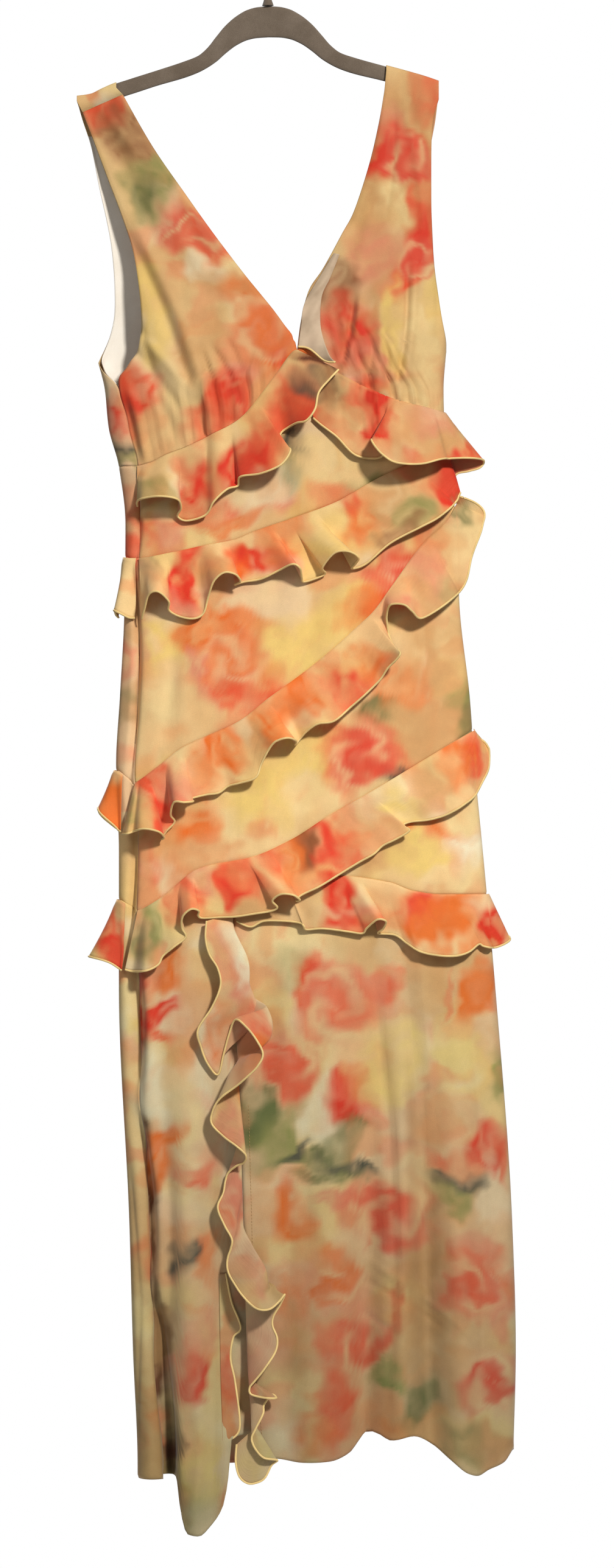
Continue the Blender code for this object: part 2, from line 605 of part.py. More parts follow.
def back_panel(name, top, bottom, steps, finish):
    return panel(name, top, bottom, steps, finish, BACK_COLUMNS, back_seam_place, left_back_turn,
                 right_back_turn)


def slit_turn(edge_x, drop, top):
    """Turn of a slit edge, which leaves the straight line of the columns below the seam."""
    straight = mix(left_seam_turn(drop), RIGHT_SEAM_TURN, SLIT_SHARE)
    return mix(straight, front_turn(edge_x, drop), ease((drop - top) / SLIT_OPENS))


def skirt_front(name, columns, hem, is_left, steps, finish):
    """A skirt front below the lowest slanted seam, on one side of the slit."""
    rows = []
    for j in range(steps + 1):
        row = []
        for share in columns:
            place = seam_place(share, SEAM_HIP_LOWER)
            top = place[1] + half_gap(*place, SEAM_HIP_LOWER)
            drop = mix(top, hem[len(hem) // 2][1], j / steps)
            for _ in range(HEM_STEPS):
                edges = between(SLIT, drop)
                if is_left:
                    slit = slit_turn(edges.left_edge, drop, top) - SLIT_CLEAR
                    turn = mix(left_seam_turn(drop), slit, share / SLIT_SHARE)
                else:
                    slit = slit_turn(edges.right_edge, drop, top) + SLIT_CLEAR
                    turn = mix(slit, RIGHT_SEAM_TURN, (share - SLIT_SHARE) / (1 - SLIT_SHARE))
                foot = between(hem, flat_place(turn, drop)[0])[1]
                drop = mix(top, foot, j / steps)
            row.append(body(turn, drop))
        rows.append(row)
    return cloth(name, rows, PANEL_WALL, finish)


def bodice_rows(side, columns, sections, steps, layer=0):
    """Rows of a bodice piece from its strap down to its bottom seam.

    columns are the shares used by the panel under it, from the outer end to the inner one. The
    lining is the layer -1, inside the outer one.
    """
    foot = [side.seam_place(share, side.seam) for share in columns]
    rows = []
    for j in range(steps + 1):
        t = j / steps
        section = Section(*along(sections, t))
        outer_turn = side.turn_at(section.outer_x, section.outer_drop)
        at_seam = ease((section.outer_drop - UNDERARM) / UNDERARM_CORNER)
        to_seam = at_seam * (side.edge_turn(section.outer_drop) - outer_turn)
        inner_turn = side.turn_at(section.inner_x, section.inner_drop)
        pull = ease((t - SPREAD_FROM) / (1 - SPREAD_FROM))
        row = []
        for share, (foot_turn, foot_drop) in zip(columns, foot):
            f = (share - columns[0]) / (columns[-1] - columns[0])
            drop = mix(section.outer_drop, section.inner_drop, f)
            across = side.turn_at(mix(section.outer_x, section.inner_x, f), drop)
            even = mix(outer_turn, inner_turn, f) + foot_turn - mix(foot[0][0], foot[-1][0], f)
            turn = mix(across, even, pull) + to_seam * (1 - f)
            drop += pull * (foot_drop - mix(foot[0][1], foot[-1][1], f))
            if j == steps:
                turn, drop = foot_turn, foot_drop - half_gap(foot_turn, foot_drop, side.seam)
            ripple = side.gather_out * sin(2 * pi * GATHERS * f) * sin(pi * f)
            ripple *= ease((t - GATHERS_FROM) / GATHERS_GROW) * ease((1 - t) / GATHERS_END)
            row.append(body(turn + side.centre_clear * f, drop, ripple + layer * lift(turn)))
        rows.append(row)
    return rows


def strap_rows(strap, arches, columns):
    """Rows of a strap as it goes over a hanger arm."""
    rows = []
    for arch in arches:
        row = []
        for share in columns:
            x = mix(strap.outer_x, strap.inner_x, (share - columns[0]) / (columns[-1] - columns[0]))
            crest = between(strap.crest, x)[1]
            half_depth = -front_y(x, crest + STRAP_ARCH[0].below)
            row.append(Vector((x, arch.across * half_depth, -crest - arch.below)) * MM)
        rows.append(row)
    return rows


def shoulder_row(seam, turn_at, columns):
    """The end of a strap that has come over the arm and meets the other strap."""
    row = []
    for share in columns:
        f = (share - columns[0]) / (columns[-1] - columns[0])
        x, drop = mix(seam.outer_x, seam.inner_x, f), mix(seam.outer_drop, seam.inner_drop, f)
        row.append(body(turn_at(x, drop), drop - SEAM_GAP))
    return [row]


def neck_facing(name, finish):
    """The facing that has rolled out over the right neck edge."""
    rows = []
    for j in range(FACING_STEPS + 1):
        place = Facing(*along(NECK_FACING, j / FACING_STEPS))
        row = []
        for f in FACING_ACROSS:
            x = mix(place.edge_x, place.free_x, f)
            drop = mix(place.edge_drop, place.free_drop, f)
            row.append(body(front_turn(x, drop), drop, RUFFLE_LIFT + FACING_PUFF * sin(pi * f)))
        rows.append(row)
    return cloth(name, rows, RUFFLE_WALL, finish)


def loft(tops, hems, power=FLARE_POWER):
    """Rows of a ruffle from its seam to its hem, kept clear of the dress under it."""
    rows = []
    for j in range(RUFFLE_ROWS + 1):
        v = j / RUFFLE_ROWS
        row = []
        for top, hem in zip(tops, hems):
            point = top + (hem - top) * v
            point.y = mix(top.y, hem.y, v ** power)
            if top.y < 0 and 0 < j < RUFFLE_ROWS:
                point.y = min(point.y, clear_y(point.x / MM, -point.z / MM) * MM)
            row.append(point)
        rows.append(row)
    return rows


def lift(turn):
    """How far a ruffle's seam stands off, more where the dress bends round its edges."""
    return RUFFLE_LIFT + EDGE_LIFT * cos(radians(turn)) ** EDGE_LIFT_SHARPNESS


def clear_y(x, drop):
    """y that keeps a ruffle clear of the front, measured square to the surface."""
    reach = RUFFLE_LIFT + CLEAR_MORE
    return min(front_y(x + side * reach, drop) - reach * sqrt(1 - side * side)
               for side in CLEAR_SAMPLES)


def hem_point(wave):
    return Vector((wave.hem_x, front_y(wave.hem_x, wave.hem_drop) - wave.out, -wave.hem_drop)) * MM


def front_ruffle(name, waves, seam, finish):
    """A ruffle set in a slanted front seam."""
    count = (len(waves) - 1) * WAVE_STEPS
    tops, hems = [], []
    for k in range(count + 1):
        wave = Wave(*along(waves, k / count))
        drop = between(seam, wave.seam_x)[1]
        turn = front_turn(wave.seam_x, drop)
        tops.append(body(turn, drop, lift(turn)))
        hems.append(hem_point(wave))
    return cloth(name, loft(tops, hems), RUFFLE_WALL, finish)


def cascade_seam(waves):
    """Where each row of the cascade is sewn: always lower, and not across the row before it."""
    highest, lowest = [CASCADE_TOP], [waves[-1].hem_drop - CASCADE_HANG]
    for before, wave in zip(waves, waves[1:]):
        drop = highest[-1] + CASCADE_STEP
        edge = between(SLIT, drop).right_edge
        share = (before.hem_x - edge) / (wave.hem_x - edge)
        if 0 < share < CASCADE_PAST:
            drop = max(drop, (before.hem_drop - share * wave.hem_drop) / (1 - share))
        highest.append(drop)
    for wave in reversed(waves[:-1]):
        lowest.insert(0, min(lowest[0] - CASCADE_STEP, wave.hem_drop - CASCADE_HANG))
    drops = [mix(min(high, low), low, CASCADE_LEAN) for high, low in zip(highest, lowest)]
    for _ in range(CASCADE_SMOOTH):
        inner = [(a + 2 * b + c) / 4 for a, b, c in zip(drops, drops[1:], drops[2:])]
        drops = [drops[0], *inner, drops[-1]]
    return [max(min(drop, low), CASCADE_TOP) for drop, low in zip(drops, lowest)]


def slit_ruffle(name, waves, finish):
    """The cascade down the slit, sewn to the slit's right edge."""
    tops, hems = [], []
    for wave, drop in zip(waves, cascade_seam(waves)):
        edge = between(SLIT, drop).right_edge
        tops.append(body(front_turn(edge, drop), drop, RUFFLE_LIFT))
        hems.append(hem_point(wave))
    return cloth(name, loft(tops, hems, CASCADE_POWER), RUFFLE_WALL, finish)


def slit_underlay(name, finish):
    """A narrow ruffle on the slit's left edge, in the gap between the two edges."""
    rows = []
    for j in range(UNDERLAY_STEPS + 1):
        place = Underlay(*along(SLIT_UNDERLAY, j / UNDERLAY_STEPS))
        edge = between(SLIT, place.drop).left_edge + UNDERLAY_CLEAR
        row = []
        for f in evenly(0, 1, UNDERLAY_COLUMNS):
            turn = front_turn(mix(edge, place.free_x, f), place.drop)
            row.append(body(turn, place.drop, -UNDERLAY_IN * f))
        rows.append(row)
    return cloth(name, rows, RUFFLE_WALL, finish)


def back_ruffle(name, sizes, finish):
    """A ruffle set in a back seam, with even flutes."""
    count = round(sizes.flutes * FLUTE_STEPS * (1 - sizes.start))
    rows = [[] for _ in range(BACK_RUFFLE_ROWS + 1)]
    for k in range(count + 1):
        share = mix(sizes.start, 1 - FLUTE_END, k / count)
        turn, drop = back_seam_place(share, sizes.seam)
        phase = 2 * pi * (sizes.flutes * (share - sizes.first) + 0.5)
        swell = (0.5 - 0.5 * cos(phase)) * ease((share - FLUTE_FLAT) / FLUTE_GROWS)
        swing = FLUTE_SWING * sin(phase)
        crest = sizes.crest * (1 + FLUTE_UNEVEN * sin(FLUTE_BEAT * phase + sizes.height))
        out = mix(sizes.trough, crest, swell)
        fall = sizes.height * (1 - sizes.lift * swell)
        seam_out = lift(turn) + CLEAR_MORE
        for j, row in enumerate(rows):
            v = j / BACK_RUFFLE_ROWS
            row.append(body(turn + swing * v, drop + fall * v, mix(seam_out, out, v ** FLARE_POWER)))
    return cloth(name, rows, RUFFLE_WALL, finish)


def face_out(piece):
    shape = bmesh.new()
    shape.from_mesh(piece.data)
    bmesh.ops.recalc_face_normals(shape, faces=shape.faces)
    shape.to_mesh(piece.data)
    shape.free()
    return piece


def skin_of_loops(name, loops, finish):
    """A closed body through loops of equal length, capped at both ends."""
    size = len(loops[0])
    points = [point for loop in loops for point in loop]
    faces = []
    for j in range(len(loops) - 1):
        here, there = j * size, (j + 1) * size
        faces += [(here + i, here + (i + 1) % size, there + (i + 1) % size, there + i) for i in range(size)]
    faces.append(tuple(reversed(range(size))))
    faces.append(tuple(range((len(loops) - 1) * size, len(loops) * size)))
    return face_out(solid(name, points, faces, finish))


def hanger_body(finish):
    """The flat, round-edged body of the hanger, both halves alike."""
    half = HANGER_THICK / 2
    stations = [Half(-row.x, row.top, row.bottom) for row in reversed(HANGER_OUTLINE[1:])]
    stations += HANGER_OUTLINE
    loops = []
    for row in stations:
        loop = []
        for y, top_in, bottom_in in ((-half, HANGER_ROUND, 0), (-half + HANGER_ROUND, 0, 0),
                                     (half - HANGER_ROUND, 0, 0), (half, HANGER_ROUND, 0)):
            loop.append(Vector((row.x, y, -row.top - top_in)) * MM)
        for y, rise in ((half, HANGER_ROUND), (half - HANGER_ROUND, 0),
                        (-half + HANGER_ROUND, 0), (-half, HANGER_ROUND)):
            loop.append(Vector((row.x, y, -row.bottom + rise)) * MM)
        loops.append(loop)
    return skin_of_loops("hanger_body", loops, finish)


def hanger_hook(finish):
    """The hook's wire, from the collar up over the rail."""
    middle = HOOK_INSIDE + HOOK_WIRE / 2
    route = [Vector((x, 0, z)) for x, z in HOOK_SHANK]
    for turn in evenly(radians(HOOK_FIRST), radians(HOOK_LAST), HOOK_STEPS):
        route.append(Vector((middle * cos(turn), 0, middle * sin(turn) - HOOK_INSIDE)))
    loops = []
    for i, place in enumerate(route):
        way = (route[min(i + 1, len(route) - 1)] - route[max(i - 1, 0)]).normalized()
        aside = Vector((way.z, 0, -way.x)) * HOOK_WIRE / 2
        behind = Vector((0, HOOK_WIRE / 2, 0))
        loops.append([(place + aside * cos(around) + behind * sin(around)) * MM
                      for around in evenly(0, 2 * pi, HOOK_SIDES)[:-1]])
    return skin_of_loops("hanger_hook", loops, finish)


def hanger_collar(finish):
    """The neck of the hanger, a turned sleeve round the hook's shank."""
    bore = [(COLLAR_BORE, COLLAR_OUTSIDE[-1][1]), (COLLAR_BORE, COLLAR_OUTSIDE[0][1])]
    profile = COLLAR_OUTSIDE + bore
    points, faces = [], []
    for i in range(COLLAR_SIDES):
        around = 2 * pi * i / COLLAR_SIDES
        points += [Vector((radius * cos(around), radius * sin(around), level)) * MM
                   for radius, level in profile]
        for k in range(len(profile)):
            here, there = i * len(profile), (i + 1) % COLLAR_SIDES * len(profile)
            after = (k + 1) % len(profile)
            faces.append((here + k, there + k, there + after, here + after))
    return face_out(solid("hanger_collar", points, faces, finish))


for leftover in list(bpy.data.objects):
    bpy.data.objects.remove(leftover, do_unlink=True)

print_cream = material("chiffon_print", (0.80, 0.62, 0.36), roughness=0.75)
lining_white = material("lining", (0.76, 0.70, 0.60), roughness=0.8)
facing_grey = material("chiffon_wrong_side", (0.55, 0.45, 0.38), roughness=0.8)
flock = material("flock", (0.16, 0.12, 0.09), roughness=0.95)
steel = material("steel", (0.62, 0.62, 0.62), roughness=0.25, metallic=1.0)

LEFT = evenly(0, SLIT_SHARE, COLUMNS_TO_SLIT)
MIDDLE = evenly(SLIT_SHARE, NECK_SHARE, COLUMNS_TO_NECK)
RIGHT = evenly(NECK_SHARE, 1, COLUMNS_TO_SIDE)
FRONT_COLUMNS = LEFT + MIDDLE[1:] + RIGHT[1:]
BACK_LEFT_COLUMNS = evenly(0, BACK_V_SHARE, BACK_COLUMNS_LEFT)
BACK_RIGHT_COLUMNS = evenly(BACK_V_SHARE, 1, BACK_COLUMNS_RIGHT)
BACK_COLUMNS = BACK_LEFT_COLUMNS + BACK_RIGHT_COLUMNS[1:]

Side = namedtuple("Side", "seam_place seam turn_at edge_turn centre_clear gather_out")
front_left = Side(seam_place, SEAM_BUST, front_turn, left_seam_turn, -CENTRE_CLEAR, GATHER_OUT)
front_right = Side(seam_place, SEAM_BUST, front_turn, right_seam_turn, CENTRE_CLEAR, GATHER_OUT)
back_left = Side(back_seam_place, BACK_BUST, back_turn, left_back_turn, CENTRE_CLEAR, 0)
back_right = Side(back_seam_place, BACK_BUST, back_turn, right_back_turn, -CENTRE_CLEAR, 0)

left_cup = bodice_rows(front_left, LEFT + MIDDLE[1:], CUP_LEFT, CUP_LEFT_STEPS)
cloth("front_bodice_left", left_cup, PANEL_WALL, print_cream)

outside_in = list(reversed(RIGHT))
right_cup = shoulder_row(BACK_RIGHT[0], back_turn, outside_in)
right_cup += strap_rows(STRAP_RIGHT, reversed(STRAP_ARCH), outside_in)
right_cup += bodice_rows(front_right, outside_in, CUP_RIGHT, CUP_RIGHT_STEPS)
cloth("front_bodice_right", right_cup, PANEL_WALL, print_cream)

left_back = shoulder_row(CUP_LEFT[0], front_turn, BACK_LEFT_COLUMNS)
left_back += strap_rows(STRAP_LEFT, STRAP_ARCH, BACK_LEFT_COLUMNS)
left_back += bodice_rows(back_left, BACK_LEFT_COLUMNS, BACK_LEFT, BACK_STEPS)
cloth("back_bodice_left", left_back, PANEL_WALL, print_cream)

inwards = list(reversed(BACK_RIGHT_COLUMNS))
right_back = bodice_rows(back_right, inwards, BACK_RIGHT, BACK_STEPS)
cloth("back_bodice_right", right_back, PANEL_WALL, print_cream)

lining = bodice_rows(back_left, BACK_LEFT_COLUMNS, BACK_LEFT, BACK_STEPS, -1)
lining = [row[:LINING_REACH] for row in lining[LINING_FROM:]]
cloth("back_lining_left", lining, RUFFLE_WALL, lining_white)
neck_facing("neck_facing_right", facing_grey)

front_panel("front_midriff", SEAM_BUST, SEAM_WAIST, steps=3, finish=print_cream)
front_panel("front_hip_upper", SEAM_WAIST, SEAM_HIP_UPPER, steps=6, finish=print_cream)
front_panel("front_hip_middle", SEAM_HIP_UPPER, SEAM_HIP_MIDDLE, steps=5, finish=print_cream)
front_panel("front_hip_lower", SEAM_HIP_MIDDLE, SEAM_HIP_LOWER, steps=3, finish=print_cream)
skirt_front("front_skirt_left", LEFT, HEM_FRONT_LEFT, True, SKIRT_STEPS, print_cream)
skirt_front("front_skirt_right", MIDDLE + RIGHT[1:], HEM_FRONT_RIGHT, False, SKIRT_STEPS, print_cream)

back_panel("back_midriff", BACK_BUST, BACK_WAIST, steps=3, finish=print_cream)
back_panel("back_hip_upper", BACK_WAIST, BACK_HIP_UPPER, steps=6, finish=print_cream)
back_panel("back_hip_lower", BACK_HIP_UPPER, BACK_HIP_LOWER, steps=4, finish=print_cream)
back_panel("back_skirt", BACK_HIP_LOWER, HEM_BACK, steps=SKIRT_STEPS, finish=print_cream)

front_ruffle("ruffle_bust_left", RUFFLE_BUST_LEFT, SEAM_BUST, print_cream)
front_ruffle("ruffle_bust_right", RUFFLE_BUST_RIGHT, SEAM_BUST, print_cream)
front_ruffle("ruffle_waist", RUFFLE_WAIST, SEAM_WAIST, print_cream)
front_ruffle("ruffle_hip_upper", RUFFLE_HIP_UPPER, SEAM_HIP_UPPER, print_cream)
front_ruffle("ruffle_hip_middle", RUFFLE_HIP_MIDDLE, SEAM_HIP_MIDDLE, print_cream)
front_ruffle("ruffle_hip_lower", RUFFLE_HIP_LOWER, SEAM_HIP_LOWER, print_cream)
back_ruffle("ruffle_back_waist", BACK_RUFFLE_WAIST, print_cream)
back_ruffle("ruffle_back_hip_upper", BACK_RUFFLE_HIP_UPPER, print_cream)
back_ruffle("ruffle_back_hip_lower", BACK_RUFFLE_HIP_LOWER, print_cream)
slit_ruffle("ruffle_slit", RUFFLE_SLIT, print_cream)
slit_underlay("slit_underlay", print_cream)

tilt = Matrix.Rotation(-radians(HANGER_TILT), 4, "Y")
for piece in (hanger_body(flock), hanger_collar(flock), hanger_hook(steel)):
    piece.matrix_world = tilt
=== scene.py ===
"""Looks of a sleeveless maxi dress with slanted ruffle tiers, on its flocked hanger.

Every piece of cloth is a thin shell on the surface that its solid has, worked out again here from
the same sizes and drawn finer: gathers, creases, fluted hems, rolled edges and a soft floral print.

Tables are in millimetres. x is measured from the hook's centre line, drop is measured down from the
origin, out is the distance that cloth stands off the dress under it.
A turn is an angle round the dress: 0 left edge, 90 front, 180 right edge, 270 back, 360 left edge.
A share runs from 0 to 1, from the left side seam to the right one or from the top of a piece down.
"""
from collections import namedtuple
from math import radians

import bpy
import numpy as np
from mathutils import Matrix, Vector


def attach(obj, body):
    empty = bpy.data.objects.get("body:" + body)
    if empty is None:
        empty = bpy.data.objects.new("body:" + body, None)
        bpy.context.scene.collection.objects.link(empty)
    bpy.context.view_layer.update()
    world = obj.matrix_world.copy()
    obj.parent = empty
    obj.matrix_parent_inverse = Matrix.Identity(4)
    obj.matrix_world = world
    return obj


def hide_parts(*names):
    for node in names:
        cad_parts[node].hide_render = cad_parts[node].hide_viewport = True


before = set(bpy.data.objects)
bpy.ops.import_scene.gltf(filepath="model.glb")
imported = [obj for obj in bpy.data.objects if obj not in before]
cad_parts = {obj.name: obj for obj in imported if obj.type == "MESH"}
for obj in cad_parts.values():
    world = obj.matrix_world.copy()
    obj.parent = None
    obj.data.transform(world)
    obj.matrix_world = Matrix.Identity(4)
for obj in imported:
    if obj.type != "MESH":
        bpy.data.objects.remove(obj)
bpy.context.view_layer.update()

MM = 0.001


def table(kind, rows):
    """Rows whose columns have names."""
    return [kind(*row) for row in rows]


# Cloth walls and the clearances between them
PANEL_WALL = 1.6
RUFFLE_WALL = 1.0
REST_GAP = 0.5
RUFFLE_LIFT = PANEL_WALL / 2 + REST_GAP + RUFFLE_WALL / 2
EDGE_LIFT, EDGE_LIFT_SHARPNESS = 2.0, 6    # a ruffle stands off more where the dress bends round its edges
CLEAR_MORE = 0.4          # room between a ruffle's flutes and the front, past RUFFLE_LIFT
CLEAR_SAMPLES = (-0.9, -0.6, -0.3, 0, 0.3, 0.6, 0.9)    # sideways, in shares of that reach

# Round the dress
EDGE_POWER = 0.6          # below 1 the dress is flatter than an oval
EDGE_TURN = 0.95          # degrees of turn for each millimetre past the left or right edge
RIGHT_SEAM_TURN = 195.0   # the right side seam lies just behind the right edge
UNDERARM = 470.0
UNDERARM_CORNER = 24.0    # below the underarm the armhole edge turns into the side seam
SLIT_SHARE = 0.254        # share of the front, from the left side seam, where the slit lies
NECK_SHARE = 0.438        # share of the front where the two cups meet
BACK_V_SHARE = 0.62       # share of the back, from the left side seam, where its V ends
LEVEL_TURN = 200.0        # up to here a seam runs on level round the right edge
NORMAL_TURN = 1.5         # degrees to either side from which the way out of the surface is read

Ring = namedtuple("Ring", "drop left right side_in front back")
RINGS = table(Ring, (
    (150, -232, 226, 16, 6.4, 6.4),
    (210, -230, 222, 16, 8, 8),
    (300, -222, 208, 16, 15, 13),
    (400, -202, 200, 16, 23, 20),
    (490, -172, 189, 16, 29, 24),
    (530, -168, 190, 21, 30, 25),
    (572, -157, 194, 20, 30, 25),
    (634, -150, 203, 14, 29, 25),
    (720, -151, 206, 16, 30, 26),
    (819, -156, 217, 17, 33, 28),
    (889, -160, 222, 20, 35, 30),
    (984, -157, 231, 20, 36, 31),
    (1126, -157, 244, 18, 38, 32),
    (1374, -146, 262, 18, 42, 36),
    (1513, -142, 266, 20, 45, 38),
    (1640, -137, 263, 24, 47, 40),
    (1710, -137, 262, 24, 47, 40),
))

# Seams and hems, by name: (x, drop) from the left side seam to the right one. The front's seams slant
SEAM_ROWS = {
    "bust": [
        (-156, 572), (-138, 572), (-124, 569), (-105, 560), (-86, 553), (-59, 540), (-34, 527),
        (-23, 518), (-8, 500), (12, 473), (33, 449), (54, 461), (77, 474), (110, 491), (138, 502),
        (174, 511), (200, 518)],
    "waist": [
        (-151, 668), (-138, 670), (-99, 664), (-66, 657), (-34, 651), (-12, 642), (26, 629), (72, 612),
        (118, 586), (145, 573), (200, 550)],
    "hip_upper": [
        (-154, 916), (-140, 910), (-116, 893), (-92, 874), (-70, 863), (-29, 844), (3, 819), (32, 798),
        (65, 772), (96, 744), (114, 727), (135, 698), (164, 658), (192, 629), (205, 601)],
    "hip_middle": [
        (-154, 1048), (-136, 1045), (-117, 1035), (-98, 1020), (-75, 1002), (-56, 996), (-18, 989),
        (26, 970), (70, 942), (99, 926), (146, 898), (194, 869), (222, 852)],
    "hip_lower": [
        (-154, 1056), (-136, 1053), (-89, 1036), (-24, 1019), (28, 1010), (75, 1008), (131, 1015),
        (156, 1024), (187, 1028), (235, 1028)],
    "hem_left": [
        (-154, 1649), (-136, 1646), (-128, 1652), (-115, 1645), (-96, 1648), (-90, 1684), (-82, 1706),
        (-70, 1708), (-58, 1697), (-46, 1678), (-41, 1656), (-36, 1604), (0, 1598)],
    "hem_right": [
        (-24, 1630), (8, 1626), (38, 1630), (68, 1628), (88, 1620), (100, 1606), (108, 1597), (120, 1600),
        (132, 1606), (155, 1602), (179, 1613), (196, 1628), (213, 1642), (224, 1645), (237, 1639),
        (253, 1632), (262, 1620)],
    "back_bust": [(-160, 572), (30, 547), (200, 518)],
    "back_waist": [(-156, 670), (30, 632), (205, 601)],
    "back_hip_upper": [(-180, 914), (-160, 896), (-60, 892), (120, 872), (222, 852)],
    "back_hip_lower": [(-178, 1052), (-157, 1034), (40, 1036), (235, 1028)],
    "hem_back": [
        (-137, 1649), (-60, 1640), (20, 1634), (64, 1632), (86, 1607), (172, 1605), (200, 1622),
        (262, 1622)],
}

# Where the two skirt fronts part at the slit: x of each edge
SlitRow = namedtuple("SlitRow", "drop left_edge right_edge")
SLIT = table(SlitRow, (
    (1028, -33, -33), (1080, -42, -36), (1240, -48, -28), (1440, -50, -22), (1530, -49, -19),
    (1640, -46, -10), (1710, -46, -6),
))
SLIT_OPENS = 60.0         # below the top of the slit, where its edges reach their own lines

# The narrow ruffle on the slit's left edge: x of its free edge
Underlay = namedtuple("Underlay", "drop free_x")
SLIT_UNDERLAY = table(Underlay, (
    (1430, -43), (1460, -37), (1487, -27), (1498, -35), (1520, -38), (1546, -33), (1593, -28),
    (1607, -39),
))
UNDERLAY_CLEAR = 0.5      # from the slit's edge
UNDERLAY_IN = 3.0         # how much further in its free edge lies

# Soft relief of the body. Each cup is a low mound, each fold a long ridge (out > 0) or trough.
# It fades out towards the side edges, and each fold swells from its top and ends past its foot.
RELIEF_FROM, RELIEF_FULL = 0.05, 0.3
FOLD_SWELLS, FOLD_ENDS = 0.625, 4 / 3
Cup = namedtuple("Cup", "x drop half_width half_height out")
CUPS = (Cup(-72, 462, 58, 72, 11), Cup(136, 432, 52, 72, 11))
Fold = namedtuple("Fold", "x_top x_foot top foot half_width out")
FRONT_FOLDS = table(Fold, (
    (-112, -98, 1120, 1660, 11, -6), (-92, -74, 1120, 1700, 20, 8), (-58, -58, 1150, 1650, 9, -4),
    (30, 22, 1120, 1640, 18, -5), (78, 60, 1100, 1640, 20, 6), (112, 104, 1090, 1640, 15, -12),
    (142, 140, 1060, 1640, 17, 9), (162, 176, 1080, 1650, 13, -16), (192, 210, 1080, 1640, 15, 9),
    (40, 52, 500, 640, 22, 3), (60, 40, 660, 900, 26, -3), (-60, -90, 690, 900, 24, 3),
    (150, 120, 700, 900, 22, 3),
))
BACK_FOLDS = table(Fold, (
    (-90, -112, 1080, 1650, 20, -9), (-54, -66, 1100, 1650, 20, 6), (-18, -24, 1090, 1650, 18, -8),
    (18, 22, 1080, 1650, 20, 7), (62, 70, 1100, 1650, 18, -8), (104, 118, 1070, 1650, 21, 7),
    (150, 168, 1090, 1650, 18, -8), (190, 214, 1100, 1650, 19, 6), (-40, -20, 700, 900, 26, -3),
    (90, 120, 700, 900, 26, 3),
))

# Soft noise: height of its hills, their size across and down, and its seed
Hills = namedtuple("Hills", "out across down seed")

# Unevenness of hanging cloth. The long hills are higher by DRAPE_ON_SKIRT once SKIRT_GROWS below SKIRT_FROM.
DRAPE_LONG, DRAPE_LONG_X = Hills(0.9, 21, 190, 3), 147
DRAPE_SHORT, DRAPE_SHORT_DROP = Hills(0.55, 11, 62, 4), 310
DRAPE_SLANTED, DRAPE_SLANT_X, DRAPE_SLANT_DROP = Hills(0.22, 9, 24, 5), 0.5, 0.4
DRAPE_ON_SKIRT, SKIRT_FROM, SKIRT_GROWS = 1.3, 1040, 300

# Bodice pieces: a row for each section from the strap down, its outer and its inner end
Section = namedtuple("Section", "outer_x outer_drop inner_x inner_drop")
CUP_LEFT = table(Section, (
    (-196, 194, -153, 175),
    (-184, 225, -121, 231),
    (-168, 268, -86, 282),
    (-153, 308, -57, 323),
    (-141, 347, -24, 367),
    (-134, 394, 6, 404),
    (-133, 424, 20, 423),
    (-136, 447, 27, 432),
    (-147, 466, 29, 438),
    (-156, 484, 31, 441),
    (-148, 528, 32, 445),
    (-137, 572, 33, 449),
))
CUP_RIGHT = table(Section, (
    (184, 180, 126, 171),
    (177, 211, 120, 206),
    (176, 282, 110, 249),
    (177, 320, 94, 299),
    (179, 358, 81, 324),
    (183, 390, 61, 361),
    (187, 420, 47, 382),
    (192, 446, 40, 403),
    (197, 470, 36, 424),
    (197, 490, 34, 440),
    (197, 518, 33, 449),
))
BACK_LEFT = table(Section, (
    (-200, 188, -157, 178),
    (-196, 202, -144, 199),
    (-187, 230, -128, 231),
    (-179, 271, -103, 282),
    (-166, 334, -70, 334),
    (-162, 394, -24, 394),
    (-166, 427, 2, 427),
    (-178, 457, 18, 454),
    (-192, 484, 26, 470),
    (-190, 528, 28, 500),
    (-184, 572, 29, 547),
))
BACK_RIGHT = table(Section, (
    (183, 181, 128, 166),
    (180, 205, 122, 200),
    (172, 250, 108, 260),
    (166, 320, 92, 320),
    (168, 380, 68, 370),
    (175, 430, 46, 415),
    (181, 462, 34, 445),
    (182, 484, 30, 466),
    (183, 500, 29, 490),
    (184, 518, 29, 547),
))
GATHERS_FROM = 0.55       # share of the way down a cup where its gathers begin
GATHERS_END, GATHERS_LEFT = 0.06, 0.35    # they sink into the seam at their foot, and not wholly
GATHER_DRIFT, GATHER_BEAT, GATHER_BEAT_FROM = 0.035, 1.7, 0.3    # what makes their spacing uneven
GATHER_REACH, GATHER_REACH_UNEVEN, GATHER_SHORT = 0.62, 0.3, 0.25   # and how high they run up
SPREAD_FROM = 0.5         # share of the way down where the columns start to spread to the seam's
LINING_REACH = 4          # columns of the left back that its lining covers, from the armhole
LINING_FROM = 2           # rows below the strap's top where the lining starts

# The straps hang over the hanger's arms. Each crest is (x, drop) of the strap's top line
CREST_LEFT = [(-202, 176), (-188, 174), (-176, 168.4), (-164, 163.1), (-146, 157)]
CREST_RIGHT = [(123, 142.1), (153, 150.2), (171, 155.5), (184, 160)]
Strap = namedtuple("Strap", "crest outer_x inner_x")
STRAP_LEFT = Strap(CREST_LEFT, -202, -160)
STRAP_RIGHT = Strap(CREST_RIGHT, 184, 128)
Arch = namedtuple("Arch", "across below")
STRAP_ARCH = [Arch(-1, 6), Arch(-0.8, 1.3), Arch(-0.3, 0), Arch(0.3, 0), Arch(0.8, 1.3), Arch(1, 6)]

